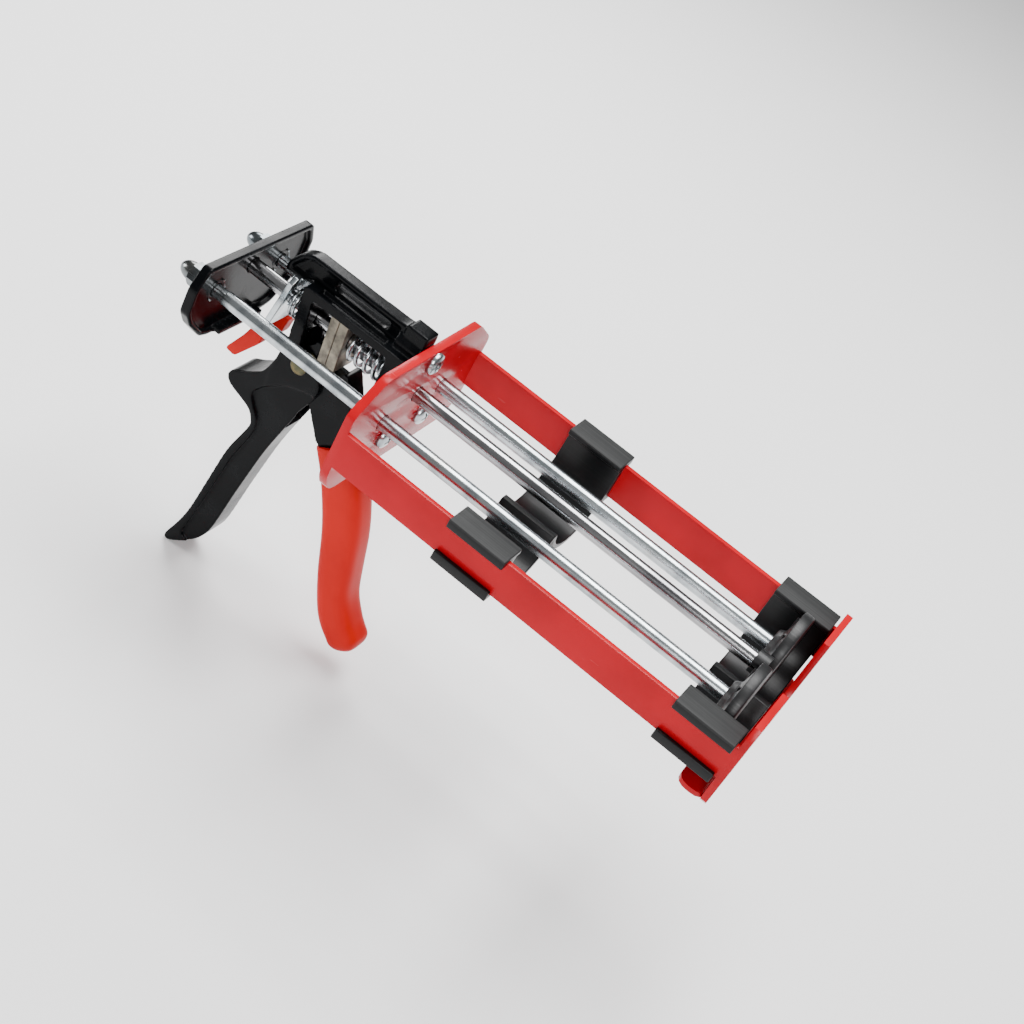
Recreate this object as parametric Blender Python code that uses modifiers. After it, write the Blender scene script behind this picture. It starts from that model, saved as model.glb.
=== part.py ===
"""Two-cartridge hand dispensing gun, modelled as an assembly of separate pieces.

Units are metres. +X points to the nozzle end and +Z up. The origin is on the front face of the
carriage's back plate, midway between the two push rods and at their height.
"""
import math

import bmesh
import bpy
from mathutils import Matrix, Vector

MM = 0.001
FIT_GAP = 0.3 * MM          # between two pieces that touch
BORE_CLEARANCE = 0.35 * MM  # radial, between a shaft and its bore
SIDES = 24                  # facets round a bore or a turned piece

# ---- rods ----------------------------------------------------------------------------------
ROD_PITCH = 46.0 * MM
PUSH_ROD_RADIUS = 3.5 * MM
THREAD_RADIUS = 3.0 * MM
DRIVE_ROD_RADIUS = 3.6 * MM
DRIVE_ROD_RISE = 5.4 * MM
PUSH_ROD_Y = ROD_PITCH / 2

# ---- carriage ------------------------------------------------------------------------------
CARRIAGE_WIDTH = 105.2 * MM
CARRIAGE_LENGTH = 194.8 * MM    # back plate's front face to front plate's rear face
BACK_PLATE_THICKNESS = 4.0 * MM
FRONT_PLATE_THICKNESS = 3.0 * MM
RAIL_THICKNESS = 2.5 * MM
RAIL_TOP = 6.8 * MM
RAIL_BOTTOM = -11.1 * MM
BACK_PLATE_TOP = 28.5 * MM
BACK_PLATE_BOTTOM = -28.5 * MM
FRONT_PLATE_TOP = 17.4 * MM
FRONT_PLATE_BOTTOM = -28.0 * MM
NOZZLE_SLOT_RADIUS = 22.0 * MM
LIP_DEPTH = 12.0 * MM
LIP_THICKNESS = 2.5 * MM
HALF_WIDTH = CARRIAGE_WIDTH / 2

# ---- saddles -------------------------------------------------------------------------------
BARREL_RADIUS = 22.7 * MM
SADDLE_LENGTH = 28.0 * MM
SADDLE_WALL = 2.5 * MM
SADDLE_RIDGE = -8.0 * MM
SADDLE_STARTS = {
    "saddle_mid": 54.4 * MM,
    "saddle_front": CARRIAGE_LENGTH - 1.2 * MM - SADDLE_LENGTH,
}

# ---- pushers -------------------------------------------------------------------------------
PUSHER_RADIUS = 19.5 * MM
PUSHER_FRONT = CARRIAGE_LENGTH - 8.4 * MM
PUSHER_RIM = 5.0 * MM
PUSHER_HUB_LENGTH = 9.0 * MM
PUSHER_HUB_RADIUS = 8.0 * MM

# ---- yoke ----------------------------------------------------------------------------------
YOKE_REAR = -94.8 * MM
YOKE_WEB = 2.6 * MM
YOKE_RIM_DEPTH = 4.6 * MM
YOKE_RIM_WIDTH = 2.4 * MM
YOKE_TOP = 16.5 * MM
YOKE_BOTTOM = -25.0 * MM
YOKE_HALF_WIDTH = 41.5 * MM
YOKE_BOSS_RADIUS = 7.0 * MM
YOKE_REAR_BOSS = 3.2 * MM
NUT_FLATS = 10.0 * MM
HEX_NUT_THICKNESS = 5.0 * MM
ACORN_HEX = 6.5 * MM
ACORN_DOME = 6.6 * MM

# ---- cast housing and handle ---------------------------------------------------------------
HOUSING_HALF_WIDTH = 11.0 * MM
HOUSING_TOP = 21.5 * MM
ROOF_THICKNESS = 4.0 * MM
HOUSING_REAR = -61.5 * MM
REAR_WALL = 5.0 * MM
FRONT_BLOCK_DEPTH = 11.0 * MM
FRONT_BLOCK_BOTTOM = -5.0 * MM
FIN_HALF_WIDTH = 3.7 * MM
FIN_WEB_HALF = 1.9 * MM
FIN_RIM = 2.5 * MM
FIN_REAR = -76.5 * MM
FIN_TOP = 31.5 * MM
CHEEK_HALF_WIDTH = 8.6 * MM
TRIGGER_SLOT_HALF = 6.0 * MM
HANDLE_HALF_WIDTH = 8.4 * MM
HANDLE_PANEL_HALF = 6.8 * MM
CASTING_FRONT = -BACK_PLATE_THICKNESS - FIT_GAP

# ---- carriage screws -----------------------------------------------------------------------
TOP_SCREW_Z = 23.2 * MM
TOP_BOSS_RADIUS = 6.2 * MM
LOW_SCREW_Y = 14.5 * MM
LOW_SCREW_Z = -12.0 * MM
SCREW_RADIUS = 2.9 * MM
SCREW_HEAD_RADIUS = 5.2 * MM
SCREW_HEAD_HEIGHT = 3.2 * MM
SCREW_LENGTH = 12.0 * MM
LUG_RADIUS = 6.0 * MM
RIB_GAP = 0.6 * MM            # between a lug's rib and the push rod beside it

# ---- trigger -------------------------------------------------------------------------------
PIVOT_X = -49.8 * MM
PIVOT_Z = -15.0 * MM
PIN_RADIUS = 2.5 * MM
TRIGGER_HALF_WIDTH = 5.5 * MM
SLEEVE_HALF_WIDTH = 8.5 * MM
SLEEVE_WALL = 2.2 * MM
SLEEVE_ROUNDING = 2.2 * MM
ARM_TIP_RADIUS = 2.0 * MM
ARM_TIP_Z = -3.0 * MM
TORSION_RADIUS = 4.4 * MM
TORSION_WIRE = 0.55 * MM        # radius of the wire
TORSION_TURNS = 3.25
TORSION_START = -5.2 * MM
TORSION_LENGTH = 3.4 * MM

# ---- grip plates and return spring ---------------------------------------------------------
GRIP_REAR = -45.5 * MM
GRIP_THICKNESS = 4.4 * MM
GRIP_HALF_WIDTH = 7.5 * MM
GRIP_TOP = 16.0 * MM
GRIP_BOTTOM = -8.5 * MM
GRIP_LEAN = math.radians(5.0)
SPRING_WIRE = 1.0 * MM          # radius of the wire
RETURN_SPRING_RADIUS = 6.2 * MM
RETURN_SPRING_TURNS = 4.5

# ---- release lever -------------------------------------------------------------------------
LEVER_THICKNESS = 2.5 * MM
LEVER_HALF_WIDTH = 10.0 * MM
LEVER_TOP = 20.0 * MM
LEVER_FOOT = -8.0 * MM
LEVER_X = -71.0 * MM            # rear face of the lever at the drive rod's height
LEVER_LEAN = math.radians(8.0)
LEVER_NOTCH_DEPTH = 5.0 * MM
LEVER_LEG = 2.4 * MM
LEVER_LEG_FOOT = -15.0 * MM
RELEASE_HINGE = (-70.0 * MM, 0.0, 18.0 * MM)
PADDLE_BOTTOM = -32.0 * MM
PADDLE_THICKNESS = 5.5 * MM
PADDLE_LEG = 5.0 * MM
RELEASE_SPRING_RADIUS = 6.8 * MM
RELEASE_WIRE = 0.7 * MM         # radius of the wire


# ---- helpers -------------------------------------------------------------------------------

def clear_scene():
    """Remove every object of the starting scene."""
    for old in list(bpy.data.objects):
        bpy.data.objects.remove(old, do_unlink=True)


def new_collection(name):
    """Make a collection and link it to the scene."""
    made = bpy.data.collections.new(name)
    bpy.context.scene.collection.children.link(made)
    return made


def finish(name, colour, roughness, metallic):
    """Make a plain Principled material."""
    made = bpy.data.materials.new(name)
    made.use_nodes = True
    shader = made.node_tree.nodes["Principled BSDF"]
    shader.inputs["Base Color"].default_value = (*colour, 1.0)
    shader.inputs["Roughness"].default_value = roughness
    shader.inputs["Metallic"].default_value = metallic
    return made


clear_scene()
PARTS = new_collection("caulking_gun")
TOOLS = new_collection("cutters")

BLACK_CASTING = finish("black_casting", (0.012, 0.013, 0.014), 0.22, 0.0)
RED_PAINT = finish("red_paint", (0.80, 0.010, 0.016), 0.25, 0.0)
RED_VINYL = finish("red_vinyl", (0.82, 0.035, 0.012), 0.42, 0.0)
BLACK_PLASTIC = finish("black_plastic", (0.022, 0.023, 0.024), 0.45, 0.0)
ZINC = finish("zinc_plate", (0.62, 0.66, 0.68), 0.28, 1.0)
POLISHED = finish("polished_steel", (0.55, 0.55, 0.56), 0.16, 1.0)
SINTERED = finish("sintered_steel", (0.23, 0.20, 0.16), 0.6, 0.8)
BRASS = finish("passivated_steel", (0.55, 0.47, 0.30), 0.35, 1.0)


def circle(radius, centre=(0.0, 0.0), sides=SIDES):
    """Points of a circle, for an outline or a hole."""
    turn = 2 * math.pi / sides
    return [(centre[0] + radius * math.cos(i * turn), centre[1] + radius * math.sin(i * turn))
            for i in range(sides)]


def arc(radius, centre, start, end, steps):
    """Points of an arc, from one angle in degrees to another."""
    angles = [math.radians(start + (end - start) * i / steps) for i in range(steps + 1)]
    return [(centre[0] + radius * math.cos(a), centre[1] + radius * math.sin(a)) for a in angles]


def mirrored(half):
    """Close a half outline, given from top to bottom at +u, with its mirror image at -u."""
    return half + [(-u, v) for u, v in reversed(half) if abs(u) > 1e-9]


def rounded(points, radius, steps=3):
    """Fillet each corner of an outline."""
    made = []
    count = len(points)
    for index, point in enumerate(points):
        here = Vector(point)
        before = Vector(points[index - 1]) - here
        after = Vector(points[(index + 1) % count]) - here
        reach = min(radius, before.length * 0.45, after.length * 0.45)
        start = here + before.normalized() * reach
        end = here + after.normalized() * reach
        for step in range(steps + 1):
            t = step / steps
            spot = start * (1 - t) ** 2 + here * 2 * t * (1 - t) + end * t ** 2
            made.append((spot.x, spot.y))
    return made


def smooth(points, steps=4):
    """Closed Catmull-Rom curve through an outline's points."""
    made = []
    count = len(points)
    for index in range(count):
        a, b, c, d = (Vector(points[(index + k) % count]) for k in (-1, 0, 1, 2))
        for step in range(steps):
            t = step / steps
            spot = 0.5 * (2 * b + (c - a) * t + (2 * a - 5 * b + 4 * c - d) * t ** 2
                          + (3 * b - a - 3 * c + d) * t ** 3)
            made.append((spot.x, spot.y))
    return made


def area(points):
    """Signed area of an outline."""
    count = len(points)
    return 0.5 * sum(points[i][0] * points[(i + 1) % count][1]
                     - points[(i + 1) % count][0] * points[i][1] for i in range(count))


def inset(points, distance):
    """Move an outline's edges inwards by a distance."""
    count = len(points)
    side = 1.0 if area(points) > 0 else -1.0
    made = []
    for index, point in enumerate(points):
        here = Vector(point)
        into = (here - Vector(points[index - 1])).normalized()
        out = (Vector(points[(index + 1) % count]) - here).normalized()
        normal = Vector((-(into + out).y, (into + out).x)).normalized() * side
        lean = max(0.35, normal.dot(Vector((-into.y, into.x)) * side))
        spot = here + normal * distance / lean
        made.append((spot.x, spot.y))
    return made


def mm(points):
    """Turn an outline given in millimetres into metres."""
    return [(u * MM, v * MM) for u, v in points]


PLANES = {
    "X": Matrix(((0, 0, 1, 0), (1, 0, 0, 0), (0, 1, 0, 0), (0, 0, 0, 1))),
    "Y": Matrix(((1, 0, 0, 0), (0, 0, -1, 0), (0, 1, 0, 0), (0, 0, 0, 1))),
    "Z": Matrix.Identity(4),
}


def slab(name, loops, axis, low, high, material=None):
    """Extrude an outline and its holes along an axis, between two heights.

    Outlines are (Y, Z) for axis X, (X, Z) for axis Y and (X, Y) for axis Z.
    """
    curve = bpy.data.curves.new(name, "CURVE")
    curve.dimensions = "2D"
    curve.fill_mode = "BOTH"
    curve.extrude = (high - low) / 2
    for loop in loops:
        spline = curve.splines.new("POLY")
        spline.points.add(len(loop) - 1)
        for point, (u, v) in zip(spline.points, loop):
            point.co = (u, v, 0.0, 1.0)
        spline.use_cyclic_u = True
    flat = bpy.data.objects.new(name + "_outline", curve)
    bpy.context.scene.collection.objects.link(flat)
    seen = flat.evaluated_get(bpy.context.evaluated_depsgraph_get())
    mesh = bpy.data.meshes.new_from_object(seen)
    bpy.data.objects.remove(flat, do_unlink=True)
    shape = bmesh.new()
    shape.from_mesh(mesh)
    bmesh.ops.remove_doubles(shape, verts=shape.verts, dist=1e-6)
    sign = -1.0 if axis == "Y" else 1.0
    middle = Matrix.Translation((0.0, 0.0, sign * (high + low) / 2))
    bmesh.ops.transform(shape, matrix=PLANES[axis] @ middle, verts=shape.verts)
    bmesh.ops.recalc_face_normals(shape, faces=shape.faces)
    shape.to_mesh(mesh)
    shape.free()
    mesh.name = name
    return put(bpy.data.objects.new(name, mesh), material)


def put(made, material):
    """Link a piece to the parts, or a cutter to the tools when it has no material."""
    if material is None:
        TOOLS.objects.link(made)
        made.display_type = "WIRE"
        made.hide_render = True
        return made
    PARTS.objects.link(made)
    made.data.materials.clear()
    made.data.materials.append(material)
    return made


def smooth_sides(made, angle=35.0):
    """Shade a round piece smooth, with its corners sharp."""
    made.data.shade_smooth()
    made.data.set_sharp_from_angle(angle=math.radians(angle))


def turned(name, profile, centre, axis="X", material=None, sides=SIDES):
    """Turn a profile of (radius, height) points, from its top down, about an axis."""
    shape = bmesh.new()
    rings = []
    for radius, height in profile:
        spots = circle(radius, sides=sides) if radius > 1e-9 else [(0.0, 0.0)]
        rings.append([shape.verts.new((u, v, height)) for u, v in spots])
    for upper, lower in zip(rings, rings[1:]):
        for index in range(sides):
            corners = [upper[index % len(upper)], upper[(index + 1) % sides % len(upper)],
                       lower[(index + 1) % sides % len(lower)], lower[index % len(lower)]]
            shape.faces.new(list(dict.fromkeys(corners)))
    bmesh.ops.recalc_face_normals(shape, faces=shape.faces)
    mesh = bpy.data.meshes.new(name)
    shape.to_mesh(mesh)
    shape.free()
    made = put(bpy.data.objects.new(name, mesh), material)
    made.location = centre
    made.rotation_euler = {"X": (0, math.pi / 2, 0), "Y": (-math.pi / 2, 0, 0), "Z": (0, 0, 0)}[axis]
    smooth_sides(made)
    return made


def rod(name, radius, low, high, centre, axis="X", material=None, sides=SIDES):
    """A plain round bar between two heights along its axis."""
    kept = {"X": (1, 2), "Y": (0, 2), "Z": (0, 1)}[axis]
    start = centre["XYZ".index(axis)]
    outline = circle(radius, (centre[kept[0]], centre[kept[1]]), sides)
    made = slab(name, [outline], axis, start + low, start + high, material)
    smooth_sides(made)
    return made


def box(name, low, high, material=None):
    """A block between two corners."""
    shape = bmesh.new()
    size = [high[k] - low[k] for k in range(3)]
    middle = [(high[k] + low[k]) / 2 for k in range(3)]
    fit = Matrix.Translation(middle) @ Matrix.Diagonal((*size, 1))
    bmesh.ops.create_cube(shape, size=1.0, matrix=fit)
    mesh = bpy.data.meshes.new(name)
    shape.to_mesh(mesh)
    shape.free()
    return put(bpy.data.objects.new(name, mesh), material)


def combine(made, other, operation):
    """Join a helper to a piece, or cut it away."""
    step = made.modifiers.new(operation.lower(), "BOOLEAN")
    step.operation = operation
    step.solver = "EXACT"
    step.object = other


def join(made, *others):
    """Join helpers to a piece."""
    for other in others:
        combine(made, other, "UNION")


def cut(made, *others):
    """Cut helpers away from a piece."""
    for other in others:
        combine(made, other, "DIFFERENCE")


def hang(made, place, lean=None):
    """Put a piece's own origin on its joint's axis, and turn the piece by a leaning matrix."""
    leaning = lean or Matrix.Identity(4)
    set_down = Matrix.Translation(place) @ leaning.to_3x3().to_4x4()
    made.data.transform(set_down.inverted() @ leaning)
    made.matrix_world = set_down


def coil(name, radius, turns, low, high, centre, material, wire=SPRING_WIRE, axis="X", sides=14):
    """A compression spring along an axis, with its end turns closed up."""
    steps = int(turns * sides)
    dead = 0.75
    points = []
    for index in range(steps + 1):
        turn = turns * index / steps
        rise = min(1.0, max(0.0, (turn - dead) / (turns - 2 * dead)))
        seat = (min(turn, dead) + max(0.0, turn - turns + dead)) * 2.3 * wire
        travel = high - low - 4 * dead * 1.15 * wire
        along = low + seat + rise * travel
        angle = 2 * math.pi * turn
        across = (radius * math.cos(angle), radius * math.sin(angle))
        if axis == "X":
            points.append((along, across[0], across[1]))
        else:
            points.append((across[0], along, across[1]))
    return wire_piece(name, [Vector(p) + Vector(centre) for p in points], wire, material)


def wire_piece(name, points, radius, material):
    """A round wire along a path."""
    curve = bpy.data.curves.new(name, "CURVE")
    curve.dimensions = "3D"
    curve.bevel_depth = radius
    curve.bevel_resolution = 2
    curve.use_fill_caps = True
    spline = curve.splines.new("POLY")
    spline.points.add(len(points) - 1)
    for point, spot in zip(spline.points, points):
        point.co = (*spot, 1.0)
    return put(bpy.data.objects.new(name, curve), material)


# ---- cast housing and handle ---------------------------------------------------------------

FIN_OUTLINE = [
    (FIN_REAR, 16.5 * MM), (FIN_REAR + 0.6 * MM, 22.0 * MM), (FIN_REAR + 5.0 * MM, FIN_TOP - 3.0 * MM),
    (FIN_REAR + 10.0 * MM, FIN_TOP - 0.6 * MM), (-18.0 * MM, FIN_TOP),
    (CASTING_FRONT, FIN_TOP + 1.5 * MM),
    (CASTING_FRONT, HOUSING_TOP - 2.0 * MM), (HOUSING_REAR + 2.0 * MM, HOUSING_TOP - 2.0 * MM),
    (HOUSING_REAR - 4.0 * MM, 18.0 * MM),
]

HANDLE_REAR = mm([
    (-59, -4), (-61, -18), (-64.2, -29), (-67.5, -33), (-73, -37.2), (-78.3, -40.6), (-79.2, -44.4),
    (-76.4, -47.4), (-69.7, -49.7), (-64, -51.9), (-61, -55.7), (-60.3, -59.5), (-62.3, -67.1),
    (-65.6, -79.2), (-68.2, -100), (-70.8, -120.7), (-73.6, -132.5), (-77.3, -143.2), (-76.8, -145.8),
])
HANDLE_FRONT = mm([
    (-73.5, -145.2), (-64.3, -137.6), (-60.1, -131.4), (-57.3, -122.8), (-54.3, -100.3),
    (-51.8, -83.3), (-49.2, -67.1), (-45.5, -51.1), (-42.5, -39), (-43, -28), (-51, -14),
])
CHEEK = mm([
    (-59.5, -3), (-51, -7.5), (-46, -10.2), (-38, -15), (-37, -24), (-43, -39), (-49, -47), (-60, -47),
    (-62, -24),
])
HANDLE_PANEL = mm([
    (-66, -43.5), (-61.5, -36.8), (-51.9, -28.6), (-38, -23.5), (-32, -50), (-44, -100), (-52, -128),
    (-62, -140), (-70.5, -137.5), (-67.5, -120), (-64.8, -100), (-62, -80), (-58.6, -67), (-57, -59.5),
    (-58.2, -53.5), (-62.5, -48.8),
])


def fin(name):
    """Web with a raised rim that stands on the housing's roof and reaches back over the lever."""
    outline = rounded(FIN_OUTLINE, 2.0 * MM)
    made = slab(name, [outline], "Y", -FIN_HALF_WIDTH, FIN_HALF_WIDTH)
    panel = [
        (FIN_REAR + FIN_RIM, 19.5 * MM), (FIN_REAR + FIN_RIM + 1.0 * MM, 22.0 * MM),
        (FIN_REAR + 7.0 * MM, FIN_TOP - 2.0 * MM - FIN_RIM), (FIN_REAR + 11.0 * MM, FIN_TOP - FIN_RIM),
        (-18.0 * MM, FIN_TOP - FIN_RIM), (-18.0 * MM, HOUSING_TOP),
        (HOUSING_REAR, HOUSING_TOP), (HOUSING_REAR - 4.0 * MM, 19.5 * MM),
    ]
    for side in (-1, 1):
        edges = sorted((side * FIN_WEB_HALF, side * (FIN_HALF_WIDTH + 1.0 * MM)))
        cut(made, slab(f"{name}_panel_{side}", [panel], "Y", *edges))
    slot = arc(2.8 * MM, (-26.0 * MM, 25.2 * MM), -90, 90, 6)
    slot += arc(2.8 * MM, (-50.0 * MM, 25.2 * MM), 90, 270, 6)
    cut(made, slab(name + "_slot", [slot], "Y", -FIN_HALF_WIDTH, FIN_HALF_WIDTH))
    return made


def screw_places():
    """Centres (Y, Z) of the three screws that hold the carriage."""
    return [(0.0, TOP_SCREW_Z), (-LOW_SCREW_Y, LOW_SCREW_Z), (LOW_SCREW_Y, LOW_SCREW_Z)]


def make_lugs(casting):
    """Lugs for the two low carriage screws, each tied to the front block by a rib."""
    for index, (y, z) in enumerate(screw_places()[1:]):
        inner = math.copysign(TRIGGER_SLOT_HALF, y)
        outer = math.copysign(PUSH_ROD_Y - PUSH_ROD_RADIUS - RIB_GAP, y)
        low, high = sorted((inner, outer))
        join(casting, box(f"lug_rib_{index}", (CASTING_FRONT - 9.5 * MM, low, z),
                          (CASTING_FRONT - 0.5 * MM, high, FRONT_BLOCK_BOTTOM + 3.0 * MM)))
        join(casting, rod(f"lug_{index}", LUG_RADIUS, CASTING_FRONT - 10.0 * MM, CASTING_FRONT, (0, y, z)))


def make_casting():
    """Die-cast housing, fin, trigger cheeks and rear handle in one piece."""
    wall_foot = HOUSING_REAR + 3.0 * MM
    frame = [
        (HOUSING_REAR, HOUSING_TOP), (CASTING_FRONT, HOUSING_TOP), (CASTING_FRONT, FRONT_BLOCK_BOTTOM),
        (CASTING_FRONT - FRONT_BLOCK_DEPTH, FRONT_BLOCK_BOTTOM),
        (CASTING_FRONT - FRONT_BLOCK_DEPTH, HOUSING_TOP - ROOF_THICKNESS),
        (HOUSING_REAR + REAR_WALL + 1.0 * MM, HOUSING_TOP - ROOF_THICKNESS),
        (wall_foot + REAR_WALL + 1.0 * MM, -8.0 * MM), (wall_foot, -12.0 * MM),
    ]
    casting = slab("body_casting", [rounded(frame, 1.5 * MM)], "Y",
                   -HOUSING_HALF_WIDTH, HOUSING_HALF_WIDTH, BLACK_CASTING)
    handle = slab("handle_blank", [smooth(HANDLE_REAR + HANDLE_FRONT, 3)], "Y",
                  -HANDLE_HALF_WIDTH, HANDLE_HALF_WIDTH)
    cheeks = slab("cheek_blank", [rounded(CHEEK, 4.0 * MM)], "Y", -CHEEK_HALF_WIDTH, CHEEK_HALF_WIDTH)
    join(casting, cheeks, handle, fin("fin_blank"))
    panel = rounded(HANDLE_PANEL, 3.0 * MM)
    for side in (-1, 1):
        low, high = sorted((side * HANDLE_PANEL_HALF, side * (HANDLE_HALF_WIDTH + 2.0 * MM)))
        cut(casting, slab(f"handle_panel_{side}", [panel], "Y", low, high))

    boss_rear = CASTING_FRONT - 13.0 * MM
    boss_front = CASTING_FRONT - 0.3 * MM
    join(casting, rod("top_boss", TOP_BOSS_RADIUS, boss_rear, boss_front, (0.0, 0.0, TOP_SCREW_Z)),
         box("top_cap", (boss_rear + 2.0 * MM, -4.6 * MM, FIN_TOP - 4.0 * MM),
             (boss_front, 4.6 * MM, FIN_TOP + 1.9 * MM)))
    for side in (-1, 1):
        edges = sorted((side * (FIN_HALF_WIDTH + 0.9 * MM), side * (HOUSING_HALF_WIDTH - 2.0 * MM)))
        cut(casting, box(f"roof_recess_{side}", (HOUSING_REAR + 6.0 * MM, edges[0], HOUSING_TOP - 1.6 * MM),
                         (boss_rear - 2.5 * MM, edges[1], HOUSING_TOP + 1.0 * MM)))
    make_lugs(casting)

    slot = mm([(-55.5, 1), (-30, 1), (-30, -52), (-42.5, -52), (-50.5, -44), (-57.2, -26), (-57.5, -8)])
    cut(casting, slab("trigger_slot", [slot], "Y", -TRIGGER_SLOT_HALF, TRIGGER_SLOT_HALF))
    cut(casting, rod("drive_bore", DRIVE_ROD_RADIUS + BORE_CLEARANCE, -90 * MM, 10 * MM,
                     (0, 0, DRIVE_ROD_RISE)))
    cut(casting, rod("pin_bore", PIN_RADIUS + BORE_CLEARANCE, -20 * MM, 20 * MM,
                     (PIVOT_X, 0, PIVOT_Z), "Y"))
    bores = [circle(SCREW_RADIUS + BORE_CLEARANCE, place) for place in screw_places()]
    cut(casting, slab("screw_bores", bores, "X", -SCREW_LENGTH - 1.0 * MM, 10 * MM))
    return casting


# ---- carriage ------------------------------------------------------------------------------

def back_plate_outline():
    """Back plate with chamfered shoulders above and below the rails."""
    half = [
        (HALF_WIDTH - 16.6 * MM, BACK_PLATE_TOP), (HALF_WIDTH - 2.2 * MM, BACK_PLATE_TOP - 11.0 * MM),
        (HALF_WIDTH, BACK_PLATE_TOP - 14.0 * MM), (HALF_WIDTH, RAIL_BOTTOM - 6.0 * MM),
        (HALF_WIDTH - 5.0 * MM, BACK_PLATE_BOTTOM + 3.0 * MM), (HALF_WIDTH - 10.0 * MM, BACK_PLATE_BOTTOM),
    ]
    return rounded(mirrored(half), 2.5 * MM)


def make_carriage():
    """Welded sheet-steel carriage: back plate, two rails and a slotted front plate with a lip."""
    push_bore = PUSH_ROD_RADIUS + BORE_CLEARANCE
    holes = [circle(push_bore, (side * PUSH_ROD_Y, 0.0)) for side in (-1, 1)]
    holes.append(circle(DRIVE_ROD_RADIUS + BORE_CLEARANCE, (0.0, DRIVE_ROD_RISE)))
    holes += [circle(SCREW_RADIUS + BORE_CLEARANCE, place) for place in screw_places()]
    carriage = slab("carriage", [back_plate_outline()] + holes, "X", -BACK_PLATE_THICKNESS, 0.0,
                    RED_PAINT)
    for side in (-1, 1):
        edges = sorted((side * HALF_WIDTH, side * (HALF_WIDTH - RAIL_THICKNESS)))
        join(carriage, box(f"rail_{side}", (-1.0 * MM, edges[0], RAIL_BOTTOM),
                           (CARRIAGE_LENGTH + 1.0 * MM, edges[1], RAIL_TOP)))
    half = arc(NOZZLE_SLOT_RADIUS, (0.0, 0.0), -90, 0, 8) + [
        (NOZZLE_SLOT_RADIUS, FRONT_PLATE_TOP), (HALF_WIDTH - 3.0 * MM, FRONT_PLATE_TOP),
        (HALF_WIDTH, FRONT_PLATE_TOP - 5.0 * MM), (HALF_WIDTH, FRONT_PLATE_BOTTOM + 4.0 * MM),
        (HALF_WIDTH - 4.0 * MM, FRONT_PLATE_BOTTOM),
    ]
    outline = half + [(-u, v) for u, v in reversed(half)][:-1]
    join(carriage, slab("front_plate", [outline], "X", CARRIAGE_LENGTH,
                        CARRIAGE_LENGTH + FRONT_PLATE_THICKNESS))
    reach = CARRIAGE_LENGTH - LIP_DEPTH
    root = CARRIAGE_LENGTH + 1.0 * MM
    edge = HALF_WIDTH - 3.0 * MM
    lip = [(root, -edge), (root, edge), (reach, edge), (reach, -edge)]
    join(carriage, slab("front_lip", [rounded(lip, 9.0 * MM, 4)], "Z", FRONT_PLATE_BOTTOM,
                        FRONT_PLATE_BOTTOM + LIP_THICKNESS))
    return carriage


def saddle_outline():
    """W-shaped section of a saddle, which hangs on both rails and holds two barrels side by side."""
    centre = (PUSH_ROD_Y, 0.0)
    inner_face = HALF_WIDTH - RAIL_THICKNESS - FIT_GAP
    outer_face = HALF_WIDTH + FIT_GAP
    shell = BARREL_RADIUS + SADDLE_WALL
    floor = RAIL_BOTTOM - FIT_GAP
    base = floor - SADDLE_WALL
    ridge = math.degrees(math.asin(SADDLE_RIDGE / BARREL_RADIUS))
    shoulder = math.degrees(math.asin(base / shell))
    valley = math.degrees(math.acos(-PUSH_ROD_Y / shell))
    half = arc(BARREL_RADIUS, centre, 180 - ridge, 360, 12)
    pad_top = RAIL_TOP + FIT_GAP + SADDLE_WALL
    inner_edge = PUSH_ROD_Y + BARREL_RADIUS
    half += [
        (inner_edge, RAIL_TOP), (inner_edge - 2.7 * MM, RAIL_TOP), (inner_edge - 2.7 * MM, pad_top),
        (outer_face + 4.0 * MM, pad_top), (outer_face + 4.0 * MM, RAIL_TOP - 1.5 * MM),
        (outer_face, RAIL_TOP - 1.5 * MM), (outer_face, RAIL_TOP + FIT_GAP),
        (inner_face, RAIL_TOP + FIT_GAP), (inner_face, floor), (outer_face, floor),
        (outer_face, floor + 2.4 * MM), (outer_face + 2.2 * MM, floor + 2.4 * MM),
        (outer_face + 2.2 * MM, base),
    ]
    half += arc(shell, centre, 360 + shoulder, 360 - valley, 14)
    return half + [(-u, v) for u, v in reversed(half[:-1])]


def make_saddles():
    """Middle and front saddles, cut from the same section."""
    outline = saddle_outline()
    for name, start in SADDLE_STARTS.items():
        slab(name, [outline], "X", start, start + SADDLE_LENGTH, BLACK_PLASTIC)


def make_screws():
    """Three pan-head screws from the back plate into the casting."""
    head = FIT_GAP + SCREW_HEAD_HEIGHT
    profile = [(0.0, head), (SCREW_HEAD_RADIUS * 0.55, head), (SCREW_HEAD_RADIUS * 0.88, head - 1.0 * MM),
               (SCREW_HEAD_RADIUS, FIT_GAP + 0.8 * MM), (SCREW_HEAD_RADIUS, FIT_GAP),
               (SCREW_RADIUS, FIT_GAP), (SCREW_RADIUS, -SCREW_LENGTH), (0.0, -SCREW_LENGTH)]
    names = ("carriage_screw_top", "carriage_screw_near", "carriage_screw_far")
    for name, (y, z) in zip(names, screw_places()):
        turned(name, profile, (0.0, y, z), "X", ZINC)


# ---- rods, yoke and pushers ----------------------------------------------------------------

def yoke_outline():
    """Yoke seen along the rods: square shoulders above, a narrowing skirt below."""
    half = [
        (YOKE_HALF_WIDTH - 5.0 * MM, YOKE_TOP), (YOKE_HALF_WIDTH, YOKE_TOP - 10.0 * MM),
        (YOKE_HALF_WIDTH, -6.0 * MM), (YOKE_HALF_WIDTH - 5.5 * MM, -14.0 * MM),
        (YOKE_HALF_WIDTH - 16.0 * MM, YOKE_BOTTOM + 1.5 * MM), (YOKE_HALF_WIDTH - 22.0 * MM, YOKE_BOTTOM),
    ]
    return mirrored(half)


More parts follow.
